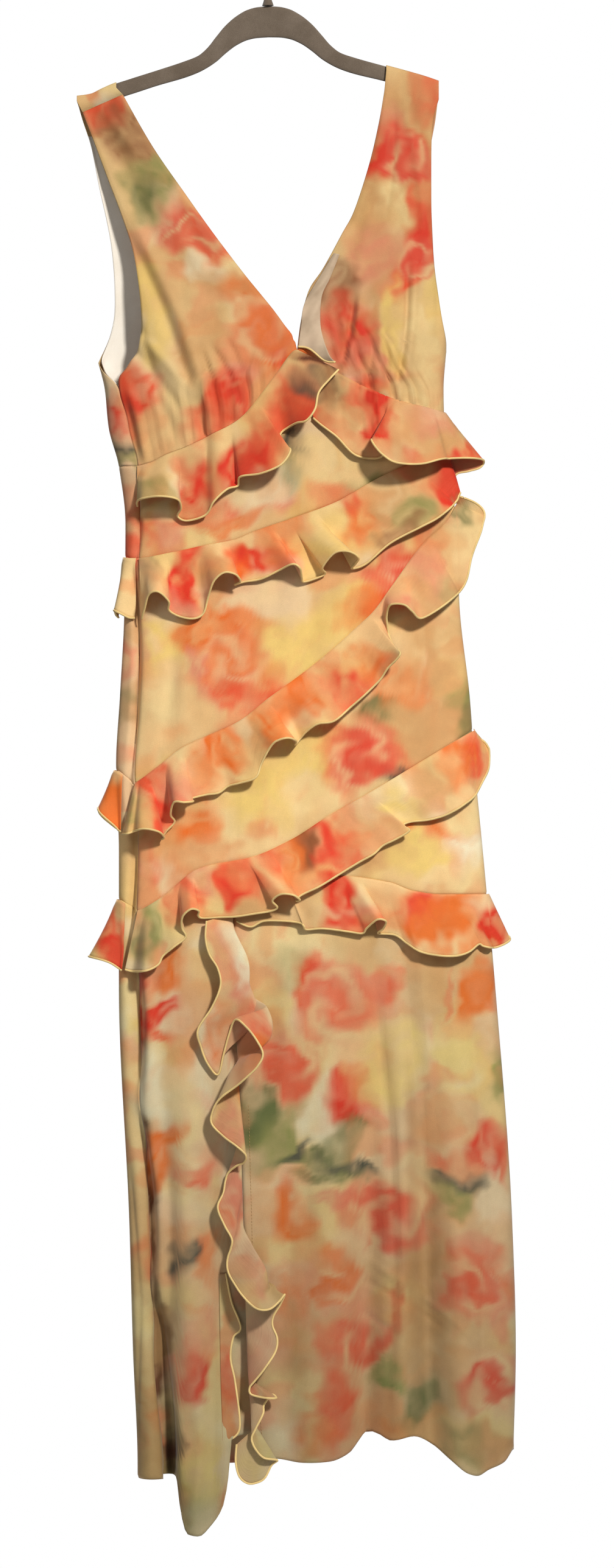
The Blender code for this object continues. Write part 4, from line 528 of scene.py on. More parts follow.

# Blots of dye and loose roses, with some blots of painted shade and painted shadow among them. lean and turn
# say how they lie, in degrees and radians.
Blot = namedtuple("Blot", "x drop wide tall tone strength lean", defaults=[0])
Rose = namedtuple("Rose", "x drop radius turn tone")
PANEL_BLOTS_AND_SHADE = table(Blot, (
    # Painted shade: the first five are broad tan washes that darken the right side of the front, where less
    # light falls.
    (140, 250, 62, 110, "tan", 0.8), (120, 430, 60, 90, "tan", 0.7), (170, 1080, 80, 60, "tan", 0.5),
    (160, 870, 70, 60, "tan", 0.5, -30), (150, 1500, 110, 140, "tan", 0.4),
    # Painted shadow: three dark umber strips down the trough beside the left side seam, then a brown strip of
    # painted shade down a fold of the right front.
    (-139, 1140, 8, 110, "umber", 0.9, -2), (-127, 1370, 8, 110, "umber", 1.0, -5),
    (-111, 1570, 13, 110, "umber", 1.0, -8), (164, 1360, 18, 190, "brown", 0.3, -3),
    (-180, 181, 32, 27, "coral", 0.8, 10), (-144, 213, 39, 29, "brown", 0.55, 35),
    (-122, 268, 27, 39, "sage", 0.75, 25), (-130, 280, 14, 22, "green", 0.6, 30),
    (-89, 317, 32, 26, "red", 0.7, 35), (-60, 334, 22, 20, "coral", 0.75, 30),
    (-63, 366, 20, 13, "white", 0.75), (-11, 398, 46, 22, "orange", 0.8, 30),
    (12, 454, 31, 40, "orange", 0.8, -35), (-44, 379, 39, 20, "tan", 0.5, 20),
    (-122, 412, 20, 58, "yellow", 0.7, -12), (-96, 490, 22, 39, "cream", 0.5),
    (-138, 490, 22, 34, "coral", 0.85), (-151, 528, 22, 39, "red", 0.5, 10),
    (-40, 502, 30, 39, "red", 0.75, 20), (-63, 522, 20, 39, "coral", 0.6, 10),
    (10, 457, 13, 20, "red", 0.6), (-70, 438, 32, 39, "tan", 0.5, 20), (2, 496, 32, 26, "peach", 0.6),
    (-118, 542, 26, 26, "peach", 0.5), (-161, 438, 13, 32, "green", 0.5),
    (142, 237, 34, 29, "red", 0.8, 8), (125, 207, 26, 20, "pink", 0.5), (171, 171, 20, 32, "coral", 0.55),
    (138, 288, 23, 26, "cream", 0.6), (172, 288, 17, 32, "coral", 0.6),
    (164, 328, 20, 30, "red", 0.8, 15), (150, 369, 17, 26, "coral", 0.8, 20),
    (112, 346, 32, 32, "pink", 0.55, 10), (80, 379, 26, 26, "brown", 0.6, 20),
    (90, 428, 32, 39, "red", 0.75, 20), (106, 464, 36, 29, "pink", 0.6), (80, 490, 20, 22, "white", 0.45),
    (99, 490, 26, 16, "coral", 0.6), (171, 438, 29, 46, "cream", 0.8),
    (138, 424, 10, 52, "yellow", 0.7, 5), (184, 386, 13, 39, "yellow", 0.5),
    (164, 496, 32, 20, "cream", 0.6), (28, 548, 17, 22, "grey", 0.75, 5), (27, 580, 14, 22, "sage", 0.7),
    (80, 568, 52, 32, "cream", 0.85, 10), (2, 606, 52, 26, "white", 0.5, -10),
    (-63, 623, 39, 14, "coral", 0.55, -12), (-122, 639, 32, 20, "coral", 0.5),
    (106, 594, 20, 13, "sage", 0.6, -20), (-34, 632, 39, 10, "orange", 0.5, -14),
    (54, 613, 46, 17, "coral", 0.4, -14), (-102, 652, 22, 20, "pink", 0.5),
    (41, 620, 13, 32, "yellow", 0.5), (-154, 522, 16, 46, "red", 0.55), (-151, 626, 18, 32, "coral", 0.8),
    (-144, 672, 13, 32, "peach", 0.5), (-60, 746, 42, 29, "orange", 0.75, -10),
    (-18, 750, 32, 26, "orange", 0.5), (-110, 762, 26, 32, "yellow", 0.7),
    (-66, 795, 9, 39, "pink", 0.8, -20), (-34, 811, 26, 20, "coral", 0.65),
    (2, 802, 20, 26, "orange", 0.6), (41, 762, 46, 39, "yellow", 0.85),
    (-109, 821, 29, 32, "cream", 0.75), (-5, 828, 39, 14, "coral", 0.6, -20),
    (132, 691, 46, 29, "red", 0.8, -35), (80, 730, 39, 26, "yellow", 0.6, -30),
    (184, 658, 39, 26, "tan", 0.6), (164, 632, 20, 26, "coral", 0.4),
    (99, 724, 26, 16, "orange", 0.5, -30), (194, 698, 20, 39, "cream", 0.7),
    (-70, 698, 32, 20, "peach", 0.5), (-144, 750, 17, 39, "peach", 0.5),
    (-146, 854, 17, 39, "cream", 0.6), (132, 802, 26, 26, "orange", 0.6),
    (124, 831, 22, 16, "green", 0.6, -20), (177, 769, 39, 46, "tan", 0.7),
    (90, 876, 43, 30, "red", 0.75, -15), (70, 863, 20, 17, "coral", 0.6),
    (132, 889, 20, 22, "coral", 0.5), (132, 904, 20, 14, "grey", 0.6), (213, 821, 16, 20, "sage", 0.75),
    (223, 847, 14, 16, "green", 0.5), (171, 847, 39, 32, "tan", 0.6),
    (41, 880, 39, 26, "yellow", 0.75, -20), (-5, 918, 39, 39, "yellow", 0.8),
    (-83, 951, 32, 23, "orange", 0.7), (-50, 990, 39, 23, "peach", 0.6),
    (-109, 938, 26, 26, "cream", 0.5), (-125, 996, 22, 26, "coral", 0.5), (41, 918, 20, 26, "cream", 0.7),
    (-141, 996, 20, 32, "peach", 0.5), (164, 808, 20, 20, "orange", 0.4, 10),
    (119, 984, 39, 20, "tan", 0.6, -25), (174, 951, 32, 20, "orange", 0.7),
    (164, 984, 32, 22, "yellow", 0.8), (216, 977, 22, 26, "white", 0.7), (210, 938, 26, 20, "cream", 0.7),
    (80, 1010, 26, 13, "cream", 0.6, -25), (190, 1010, 32, 13, "cream", 0.6),
    (41, 1126, 17, 30, "coral", 0.8, 10), (59, 1114, 22, 16, "red", 0.6, 10),
    (80, 1140, 39, 32, "pink", 0.45), (106, 1126, 26, 13, "pink", 0.6, 10),
    (132, 1121, 17, 16, "coral", 0.55), (-11, 1114, 26, 32, "peach", 0.5),
    (21, 1107, 20, 26, "sage", 0.3), (12, 1204, 20, 39, "pink", 0.65, -10),
    (27, 1224, 23, 22, "coral", 0.75, 20), (54, 1172, 9, 32, "coral", 0.6, -15),
    (70, 1178, 32, 39, "cream", 0.6), (99, 1218, 26, 39, "pink", 0.35),
    (93, 1244, 25, 27, "red", 0.75, 15), (114, 1244, 10, 32, "pink", 0.55, 20),
    (-5, 1263, 16, 32, "green", 0.85, 15), (12, 1282, 22, 39, "sage", 0.7, 20),
    (41, 1308, 39, 8, "green", 0.7), (31, 1299, 20, 8, "grey", 0.7, -35),
    (80, 1289, 17, 32, "green", 0.6, 20), (90, 1315, 26, 10, "grey", 0.75, 10),
    (70, 1325, 39, 9, "green", 0.6), (54, 1270, 17, 26, "white", 0.5),
    (132, 1204, 39, 46, "yellow", 0.55), (171, 1140, 32, 39, "tan", 0.45),
    (223, 1133, 17, 36, "orange", 0.65, 15), (194, 1140, 6, 26, "coral", 0.5, 5),
    (236, 1204, 20, 32, "peach", 0.5), (246, 1218, 12, 26, "sage", 0.75),
    (210, 1218, 32, 39, "yellow", 0.4), (190, 1276, 39, 32, "peach", 0.5),
    (236, 1299, 23, 29, "red", 0.7, 35), (255, 1308, 10, 26, "coral", 0.5),
    (184, 1308, 20, 13, "coral", 0.5, 30), (203, 1334, 32, 10, "grey", 0.65, 10),
    (194, 1348, 26, 13, "sage", 0.6), (158, 1328, 26, 32, "cream", 0.3),
    (28, 1367, 22, 29, "orange", 0.7, -10), (41, 1400, 20, 20, "peach", 0.5),
    (80, 1348, 26, 9, "pink", 0.55, -20), (-5, 1374, 20, 39, "peach", 0.4),
    (229, 1438, 32, 39, "coral", 0.6, 20), (197, 1426, 8, 32, "red", 0.55),
    (216, 1400, 26, 20, "pink", 0.5), (171, 1412, 32, 39, "tan", 0.45), (249, 1471, 17, 26, "pink", 0.6),
    (67, 1426, 20, 26, "orange", 0.55), (86, 1458, 26, 20, "pink", 0.5),
    (21, 1458, 26, 46, "orange", 0.4), (28, 1510, 20, 39, "tan", 0.5), (-5, 1523, 26, 39, "pink", 0.3),
    (99, 1497, 29, 26, "coral", 0.55), (70, 1523, 16, 39, "coral", 0.55, -8),
    (132, 1478, 9, 39, "red", 0.45, 15), (132, 1542, 22, 20, "sage", 0.75),
    (164, 1562, 16, 26, "green", 0.6, 20), (171, 1504, 39, 39, "tan", 0.5),
    (119, 1588, 32, 26, "orange", 0.35), (77, 1575, 16, 39, "coral", 0.6),
    (54, 1601, 26, 20, "orange", 0.45), (210, 1608, 32, 20, "green", 0.35),
    (236, 1614, 20, 20, "tan", 0.5), (171, 1614, 32, 26, "peach", 0.5),
    (106, 1374, 6, 32, "red", 0.5, 10), (-109, 1107, 29, 29, "orange", 0.7),
    (-131, 1120, 13, 46, "pink", 0.4), (-114, 1156, 26, 9, "red", 0.75, -30),
    (-118, 1178, 22, 9, "coral", 0.7), (-144, 1140, 14, 32, "red", 0.7),
    (-144, 1192, 14, 26, "coral", 0.5), (-89, 1192, 20, 39, "orange", 0.35),
    (-70, 1140, 20, 39, "peach", 0.5), (-122, 1230, 20, 39, "white", 0.6),
    (-89, 1263, 20, 46, "cream", 0.5), (-112, 1308, 22, 39, "orange", 0.85, 8),
    (-125, 1348, 17, 23, "brown", 0.5), (-89, 1348, 17, 20, "cream", 0.5),
    (-75, 1325, 16, 13, "coral", 0.6), (-83, 1412, 14, 18, "grey", 0.8, 20),
    (-138, 1412, 12, 32, "red", 0.75), (-140, 1471, 12, 26, "coral", 0.6),
    (-109, 1400, 20, 32, "peach", 0.4), (-70, 1490, 17, 32, "pink", 0.5, 10),
    (-73, 1536, 16, 26, "red", 0.7, 15), (-89, 1523, 13, 20, "coral", 0.4),
    (-114, 1504, 17, 39, "tan", 0.5), (-125, 1588, 17, 39, "coral", 0.7),
    (-70, 1634, 20, 39, "yellow", 0.5), (-89, 1672, 26, 32, "sage", 0.35),
    (-96, 1588, 26, 32, "cream", 0.4), (-60, 1406, 13, 39, "orange", 0.4),
))
RUFFLE_BLOTS_AND_SHADOW = table(Blot, (
    (176, 1052, 52, 28, "orange", 0.85), (160, 1046, 30, 20, "coral", 0.6),
    (36, 528, 50, 28, "coral", 0.75, 20), (150, 552, 40, 26, "tan", 0.6),
    (-122, 613, 20, 26, "sage", 0.5), (-76, 594, 22, 32, "red", 0.7, 10),
    (-89, 632, 20, 16, "coral", 0.6), (-50, 594, 16, 39, "peach", 0.5),
    (-31, 574, 20, 32, "red", 0.75, 10), (-11, 568, 17, 32, "red", 0.7, 15),
    (2, 542, 17, 32, "coral", 0.6), (21, 509, 22, 32, "coral", 0.75, 10), (41, 490, 16, 16, "grey", 0.6),
    (54, 502, 16, 32, "tan", 0.5), (28, 535, 13, 13, "red", 0.5), (70, 490, 20, 20, "brown", 0.5),
    # Painted shadow: the dark umber patch at (52, 466), under the free edge of the neck facing.
    (52, 466, 22, 11, "umber", 0.9, 25), (96, 502, 20, 22, "coral", 0.6),
    (116, 522, 17, 29, "red", 0.85, 10), (80, 522, 13, 26, "tan", 0.5), (93, 554, 26, 13, "peach", 0.5),
    (138, 528, 20, 26, "peach", 0.5), (158, 568, 26, 16, "red", 0.5), (184, 548, 26, 32, "tan", 0.6, 20),
    (216, 554, 13, 26, "coral", 0.75, 20), (171, 528, 26, 16, "pink", 0.5, 10),
    (194, 587, 13, 26, "red", 0.8), (-131, 678, 16, 20, "grey", 0.4), (-122, 710, 20, 32, "peach", 0.5),
    (-86, 691, 17, 39, "red", 0.8, 15), (-102, 724, 16, 20, "pink", 0.6), (-63, 678, 16, 20, "tan", 0.5),
    (-34, 684, 16, 26, "orange", 0.7), (-18, 675, 26, 18, "red", 0.8),
    (2, 658, 20, 32, "coral", 0.5, -20), (21, 646, 20, 39, "orange", 0.55),
    (41, 672, 16, 32, "yellow", 0.6), (67, 658, 26, 39, "yellow", 0.6, -10),
    (106, 626, 22, 32, "orange", 0.6), (93, 606, 13, 20, "coral", 0.5), (132, 600, 20, 39, "tan", 0.6),
    (158, 620, 22, 20, "sage", 0.6, -20), (171, 580, 22, 26, "peach", 0.6),
    (197, 594, 16, 32, "red", 0.75), (138, 646, 26, 10, "brown", 0.5, -35),
    (216, 639, 20, 39, "cream", 0.8), (210, 613, 13, 20, "green", 0.5),
    (171, 691, 22, 39, "pink", 0.55, -20), (190, 724, 22, 39, "sage", 0.5),
    (138, 730, 20, 26, "pink", 0.5, -20), (158, 717, 16, 32, "tan", 0.5), (132, 782, 16, 32, "sage", 0.4),
    (112, 795, 16, 26, "coral", 0.5), (80, 814, 26, 22, "red", 0.8, -20),
    (99, 776, 17, 20, "orange", 0.5), (54, 834, 16, 32, "peach", 0.6),
    (28, 814, 20, 32, "orange", 0.7, -20), (2, 847, 22, 32, "orange", 0.7),
    (-24, 860, 20, 32, "tan", 0.5), (-50, 873, 22, 29, "orange", 0.7), (-76, 899, 20, 32, "orange", 0.5),
    (-122, 918, 22, 39, "coral", 0.85, 10), (-112, 944, 20, 20, "red", 0.7),
    (-148, 938, 20, 39, "tan", 0.6), (-164, 932, 13, 39, "sage", 0.5), (-96, 918, 20, 26, "pink", 0.5),
    (216, 880, 16, 32, "coral", 0.8), (197, 886, 20, 32, "orange", 0.6), (171, 912, 22, 32, "tan", 0.6),
    (145, 944, 22, 32, "yellow", 0.6, -20), (119, 951, 22, 39, "peach", 0.6, -20),
    (80, 977, 22, 32, "coral", 0.6, -20), (51, 974, 26, 26, "red", 0.7, -20),
    (41, 984, 13, 20, "brown", 0.8), (21, 996, 20, 39, "orange", 0.6), (2, 977, 16, 32, "coral", 0.6),
    (-31, 1016, 23, 26, "coral", 0.8), (-37, 1029, 13, 13, "red", 0.7), (-70, 1010, 20, 26, "pink", 0.55),
    (-89, 1029, 22, 32, "coral", 0.6), (-96, 1003, 16, 26, "coral", 0.5),
    (-122, 1068, 16, 32, "sage", 0.7), (-135, 1088, 16, 20, "green", 0.5),
    (-161, 1062, 17, 39, "peach", 0.6), (-174, 1088, 13, 26, "yellow", 0.5),
    (-11, 1042, 26, 20, "tan", 0.6), (70, 1016, 22, 13, "red", 0.7), (80, 1042, 22, 26, "red", 0.75),
    (106, 1055, 16, 20, "coral", 0.6), (47, 1048, 20, 20, "tan", 0.5), (132, 1042, 20, 32, "peach", 0.6),
    (171, 1036, 22, 20, "red", 0.6), (184, 1055, 26, 26, "orange", 0.7),
    (203, 1042, 16, 26, "orange", 0.6), (242, 1062, 20, 29, "red", 0.85, 10),
    (216, 1088, 20, 20, "orange", 0.5), (-57, 1088, 13, 32, "pink", 0.5),
    (-37, 1114, 16, 32, "pink", 0.7), (-24, 1172, 17, 32, "coral", 0.65),
    (-30, 1100, 14, 30, "white", 0.7), (-57, 1178, 16, 39, "orange", 0.6),
    (-16, 1196, 20, 20, "orange", 0.8), (-24, 1218, 20, 32, "orange", 0.7),
    (-44, 1276, 17, 32, "pink", 0.7), (-34, 1334, 14, 39, "pink", 0.7), (-44, 1374, 13, 26, "coral", 0.4),
    (-24, 1426, 17, 32, "pink", 0.5), (2, 1445, 20, 20, "tan", 0.6), (-40, 1458, 13, 39, "peach", 0.5),
    (-11, 1504, 20, 39, "pink", 0.5), (-34, 1542, 20, 32, "coral", 0.5), (-5, 1556, 20, 32, "peach", 0.5),
    (-24, 1620, 26, 32, "yellow", 0.6), (-44, 1582, 13, 26, "orange", 0.4),
))
ROSES = table(Rose, (
    (127, 1364, 40, 0.4, "red"), (240, 1544, 34, 2.0, "red"), (98, 1501, 26, 1.1, "coral"),
    (77, 1145, 40, 2.6, "coral"), (21, 1212, 29, 0.2, "coral"), (213, 1446, 30, 3.0, "coral"),
    (70, 1435, 21, 4.0, "orange"), (150, 241, 22, 1.0, "red"), (166, 346, 22, 4.2, "red"),
    (-5, 428, 31, 2.2, "orange"), (-77, 324, 23, 5.0, "coral"), (99, 877, 31, 0.9, "red"),
    (-34, 782, 32, 3.3, "orange"),
))


def mix(a, b, t):
    return a + (b - a) * t


def ease(t):
    t = np.clip(t, 0.0, 1.0)
    return t * t * (3 - 2 * t)


def hill(distance):
    """A smooth hump, 1 at distance 0 and gone by about 2."""
    return np.exp(-distance * distance)


def soft_noise(across, down, seed):
    """Smooth random hills about one unit apart, from -1 to 1."""
    size = 64
    grid = np.random.default_rng(seed).uniform(-1, 1, (size, size))
    i, j = np.floor(across).astype(int), np.floor(down).astype(int)
    u, v = ease(across - i), ease(down - j)

    def corner(a, b):
        return grid[(i + a) % size, (j + b) % size]
    return mix(mix(corner(0, 0), corner(1, 0), u), mix(corner(0, 1), corner(1, 1), u), v)


class Curve:
    """A table read at any key of its first column, on a smooth curve that never overshoots."""

    def __init__(self, rows):
        rows = np.array(rows, dtype=float)
        self.keys, self.values = rows[:, 0], rows[:, 1:]
        chords = np.diff(self.values, axis=0) / np.diff(self.keys)[:, None]
        before, after = chords[:-1], chords[1:]
        same_way = before * after > 0
        both = np.where(same_way, before + after, 1.0)
        inner = np.where(same_way, 2 * before * after / both, 0.0)
        self.slopes = np.vstack([chords[:1], inner, chords[-1:]])

    def __call__(self, key):
        """The other columns, one array each."""
        key = np.clip(np.asarray(key, dtype=float), self.keys[0], self.keys[-1])
        i = np.clip(np.searchsorted(self.keys, key, "right") - 1, 0, len(self.keys) - 2)
        span = self.keys[i + 1] - self.keys[i]
        t = (key - self.keys[i]) / span
        t, span = t[..., None], span[..., None]
        found = ((2 * t**3 - 3 * t**2 + 1) * self.values[i] + (t**3 - 2 * t**2 + t) * self.slopes[i] * span
                 + (3 * t**2 - 2 * t**3) * self.values[i + 1] + (t**3 - t**2) * self.slopes[i + 1] * span)
        return np.moveaxis(found, -1, 0)


def along(rows, t):
    """All columns at places t along a table, 0 at its first row and 1 at its last, one array each."""
    rows = np.array(rows, dtype=float)
    place = np.clip(t, 0.0, 1.0) * (len(rows) - 1)
    i = np.minimum(place.astype(int), len(rows) - 2)
    s = (place - i)[:, None]
    a, b = rows[np.maximum(i - 1, 0)], rows[i]
    c, d = rows[i + 1], rows[np.minimum(i + 2, len(rows) - 1)]
    found = 0.5 * (2 * b + (c - a) * s + (2 * a - 5 * b + 4 * c - d) * s**2 + (3 * b - a - 3 * c + d) * s**3)
    return found.T


def waves_of(rows):
    """All columns of a ruffle's table, with WAVE_STEPS places from each row to the next."""
    return along(rows, np.linspace(0, 1, (len(rows) - 1) * WAVE_STEPS + 1))


def grid_of(rows, steps):
    """All columns of a table at even steps down a grid of points."""
    return along(rows, np.linspace(0, 1, steps))[:, :, None]


def hills(shape, x, drop, seed=0):
    """Soft noise of the height and size in shape."""
    return shape.out * soft_noise(x / shape.across, drop / shape.down, shape.seed + seed)


RING_AT, SLIT_AT = Curve(RINGS), Curve(SLIT)
BULGE_AT, PAINTED_SHADE_AT = Curve(CASCADE_BULGE), Curve(PAINTED_SHADE_DOWN)
SEAMS = {name: Curve(rows) for name, rows in SEAM_ROWS.items()}


def flat_place(turn, drop):
    """x and y of the dress before its folds."""
    left, right, front, back = RING_AT(drop)[[0, 1, 3, 4]]
    level = np.sin(np.radians(turn))
    depth = np.where(level > 0, front, back)
    x = (left + right) / 2 - (right - left) / 2 * np.cos(np.radians(turn))
    return x, -np.sign(level) * depth * np.abs(level) ** EDGE_POWER


def front_turn(x, drop):
    """Turn of the place x on the front. Past an edge, x runs on round the side."""
    left, right = RING_AT(drop)[:2]
    inside = np.degrees(np.arccos(np.clip(((left + right) / 2 - x) / ((right - left) / 2), -1, 1)))
    past = np.where(x < left, (x - left) * EDGE_TURN, 180 + (x - right) * EDGE_TURN)
    return np.where((x < left) | (x > right), past, inside)


def back_turn(x, drop):
    return 360 - front_turn(x, drop)


def left_seam_turn(drop):
    left, side_in = RING_AT(drop)[[0, 2]]
    return front_turn(left + side_in, drop)


def left_back_turn(drop):
    return 360 + left_seam_turn(drop)


def right_seam_turn(drop):
    return np.full_like(np.asarray(drop, dtype=float), RIGHT_SEAM_TURN)


def fold_relief(folds, x, drop):
    """Long soft folds, each swelling from its top and ending past its foot."""
    out = np.zeros_like(x)
    for fold in folds:
        t = (drop - fold.top) / (fold.foot - fold.top)
        middle = mix(fold.x_top, fold.x_foot, t)
        swell = ease(t / FOLD_SWELLS) * ease((FOLD_ENDS - t) / (FOLD_ENDS - 1))
        out = out + fold.out * swell * hill((x - middle) / fold.half_width)
    return out


def crease_relief(creases, x, drop):
    """Short creases in any direction, each a soft trough or ridge that fades out at both ends."""
    out = np.zeros_like(x)
    for crease in creases:
        way = np.array([crease.x_to - crease.x_from, crease.drop_to - crease.drop_from], dtype=float)
        length = np.hypot(*way)
        t = ((x - crease.x_from) * way[0] + (drop - crease.drop_from) * way[1]) / length**2
        aside = ((x - crease.x_from) * way[1] - (drop - crease.drop_from) * way[0]) / length
        bend = CREASE_BEND * length * np.sin(np.pi * np.clip(t, 0, 1))
        ends = ease((t + CREASE_END) / (2 * CREASE_END)) * ease((1 + CREASE_END - t) / (2 * CREASE_END))
        out = out + crease.out * ends * hill((aside - bend) / crease.half_width)
    return out


def drape_relief(x, drop):
    """The slight unevenness of hanging cloth: long soft waves and smaller ones across them."""
    tall = DRAPE_LONG.out + DRAPE_ON_SKIRT * ease((drop - SKIRT_FROM) / SKIRT_GROWS)
    out = hills(DRAPE_LONG._replace(out=tall), x + DRAPE_LONG_X, drop)
    out = out + hills(DRAPE_SHORT, x, drop + DRAPE_SHORT_DROP)
    return out + hills(DRAPE_SLANTED, x + DRAPE_SLANT_X * drop, drop - DRAPE_SLANT_DROP * x)


def relief(x, turn, drop):
    """How far cups, folds and creases stand out of the plain shape."""
    level = np.sin(np.radians(turn))
    front = crease_relief(FRONT_CREASES, x, drop) + fold_relief(FRONT_FOLDS, x, drop)
    for cup in CUPS:
        front += cup.out * hill((x - cup.x) / cup.half_width) * hill((drop - cup.drop) / cup.half_height)
    back = fold_relief(BACK_FOLDS, x, drop) + crease_relief(BACK_CREASES, x, drop)
    out = np.where(level > 0, front, back) + drape_relief(x * np.where(level > 0, 1, -1), drop)
    return out * ease((np.abs(level) - RELIEF_FROM) / (RELIEF_FULL - RELIEF_FROM))


def body(turn, drop, out=0.0):
    """Points on the dress, moved out of its surface, in metres."""
    turn, drop = np.broadcast_arrays(np.asarray(turn, dtype=float), np.asarray(drop, dtype=float))
    x, y = flat_place(turn, drop)
    ahead, behind = flat_place(turn + NORMAL_TURN, drop), flat_place(turn - NORMAL_TURN, drop)
    way_x, way_y = ahead[1] - behind[1], behind[0] - ahead[0]
    total = (out + relief(x, turn, drop)) / np.hypot(way_x, way_y)
    return np.stack([x + way_x * total, y + way_y * total, -drop], axis=-1) * MM


def x_and_drop(points):
    return points[..., 0] / MM, -points[..., 2] / MM


def front_y(x, drop):
    """y of the front surface at x, or of the side edge beyond it."""
    left, right = RING_AT(drop)[:2]
    turn = front_turn(x, drop)
    y = flat_place(turn, drop)[1] - relief(x, turn, drop)
    return np.where((x > left) & (x < right), y, 0.0)


def off_front(x, drop, out):
    """Points that stand off the front, in metres."""
    return np.stack([x, front_y(x, drop) - out, -drop], axis=-1) * MM


def seam_x(turn, drop):
    """x where a seam's table is read: past the right edge a seam runs on level.

    The strip of the back between the left edge and the side seam is unrolled to the left.
    """
    x = flat_place(np.where((turn > 180) & (turn < LEVEL_TURN), 180, turn), drop)[0]
    left_edge = flat_place(np.full_like(x, 360.0), drop)[0]
    return np.where(turn > 360, 2 * left_edge - x, x)


def seam_at(share, seam, left_turn, row):
    """Turn and drop where a seam crosses a column. Its drop is first taken from a row of its table."""
    drop = np.full_like(share, seam.values[row, 0])
    for _ in range(SEAM_STEPS):
        turn = mix(left_turn(drop), right_seam_turn(drop), share)
        drop = seam(seam_x(turn, drop))[0]
    return turn, drop


def seam_place(share, seam):
    """The same in front, where a share runs from side seam to side seam."""
    return seam_at(share, seam, left_seam_turn, len(seam.keys) // 2)


def back_seam_place(share, seam):
    """The same behind, where a share runs from the left side seam round to the right one."""
    return seam_at(share, seam, left_back_turn, 1)


def groove(t, rows_deep):
    """A fine dip at the top and bottom edge of a panel, where it is sewn on, deeper at the bottom."""
    return -SEAM_DIP * (hill(t * rows_deep / SEAM_DIP_WIDE) + 3 * hill((1 - t) * rows_deep / SEAM_DIP_WIDE))


def panel(top, bottom, place, left_turn, steps, columns):
    """Points of a panel between two seams, from side seam to side seam."""
    share = np.linspace(0, 1, columns)
    first, last = place(share, top)[1], place(share, bottom)[1] + SEAM_LAP
    t = np.linspace(0, 1, steps)[:, None]
    drop = mix(first, last, t)
    turn = mix(left_turn(drop), right_seam_turn(drop), share)
    return body(turn, drop, groove(t, last - first))


def skirt_front(first_share, last_share, hem, is_left, steps, columns):
    """Points of a skirt front below the lowest slanted seam, on one side of the slit."""
    share = np.linspace(first_share, last_share, columns)
    top = seam_place(share, SEAMS["hip_lower"])[1]
    t = np.linspace(0, 1, steps)[:, None]
    foot = np.full((steps, columns), float(hem.values[len(hem.keys) // 2, 0]))
    for _ in range(HEM_STEPS):
        drop = mix(top, foot, t)
        edge = SLIT_AT(drop)[1] + (SLIT_LAP if is_left else 0)
        straight = mix(left_seam_turn(drop), RIGHT_SEAM_TURN, SLIT_SHARE)
        slit = mix(straight, front_turn(edge, drop), ease((drop - top) / SLIT_OPENS))
        if is_left:
            turn = mix(left_seam_turn(drop), slit, share / SLIT_SHARE)
        else:
            turn = mix(slit, RIGHT_SEAM_TURN, (share - SLIT_SHARE) / (1 - SLIT_SHARE))
        foot = hem(flat_place(turn, drop)[0])[0]
    drop = mix(top, foot, t)
    band = HEM_BAND_OUT * ease((drop - foot + HEM_BAND) / HEM_BAND_STEP)
    if is_left:
        lap = ease((share / SLIT_SHARE - SLIT_LAP_FROM) / (1 - SLIT_LAP_FROM))
        depth = mix(SLIT_LAP_IN, SLIT_LAP_DEEP, ease((drop - UNDERLAY_FROM) / UNDERLAY_GROWS))
        band = band - depth * lap * ease((drop - top) / SLIT_OPENS)
    return body(turn, drop, band - SEAM_DIP * hill((drop - top) / SEAM_DIP_WIDE))


def shares_of(columns):
    """Shares across a piece, 0 at its outer end and 1 at its inner one."""
    return (columns - columns[0]) / (columns[-1] - columns[0])


def gathers(side, f, t):
    """Uneven gathers that run up from the foot of a cup, from -1 to 1."""
    phase = side.gathers * (f + GATHER_DRIFT * soft_noise(f * 5, f * 0 + 2, 11))
    wave = np.sin(2 * np.pi * phase) + 0.5 * np.sin(2 * np.pi * (phase * GATHER_BEAT + GATHER_BEAT_FROM))
    reach = GATHER_REACH + GATHER_REACH_UNEVEN * soft_noise(phase, phase * 0 + 9, 12)
    where = hill((f - side.gathered_at) / side.gathered_wide)
    return wave * ease((t - GATHERS_FROM - GATHER_SHORT * (1 - reach)) / (1 - GATHERS_FROM)) * where


def bodice(side, columns, sections, steps, layer=0):
    """Points of a bodice piece from its strap down to its bottom seam.

    columns are the shares used by the panel under it, from the outer end to the inner one. The
    lining is the layer -1, inside the outer one.
    """
    foot_turn, foot_drop = side.seam_place(columns, side.seam)
    t = np.linspace(0, 1, steps)[:, None]
    outer_x, outer_drop, inner_x, inner_drop = grid_of(sections, steps)
    f = shares_of(columns)
    outer_turn = side.turn_at(outer_x, outer_drop)
    at_seam = ease((outer_drop - UNDERARM) / UNDERARM_CORNER)
    to_seam = at_seam * (side.edge_turn(outer_drop) - outer_turn)
    inner_turn = side.turn_at(inner_x, inner_drop)
    pull = ease((t - SPREAD_FROM) / (1 - SPREAD_FROM))
    drop = mix(outer_drop, inner_drop, f)
    across = side.turn_at(mix(outer_x, inner_x, f), drop)
    even = mix(outer_turn, inner_turn, f) + foot_turn - mix(foot_turn[0], foot_turn[-1], f)
    turn = mix(across, even, pull) + to_seam * (1 - f)
    drop = drop + pull * (foot_drop - mix(foot_drop[0], foot_drop[-1], f))
    ripple = side.gather_out * gathers(side, f, t) * ease((1 - t) / GATHERS_END + GATHERS_LEFT)
    rolled = EDGE_ROLL * (hill(f / EDGE_ROLL_WIDE) + hill((1 - f) / EDGE_ROLL_WIDE))
    return body(turn, drop, ripple - rolled * (1 - pull) + layer * lift(turn))


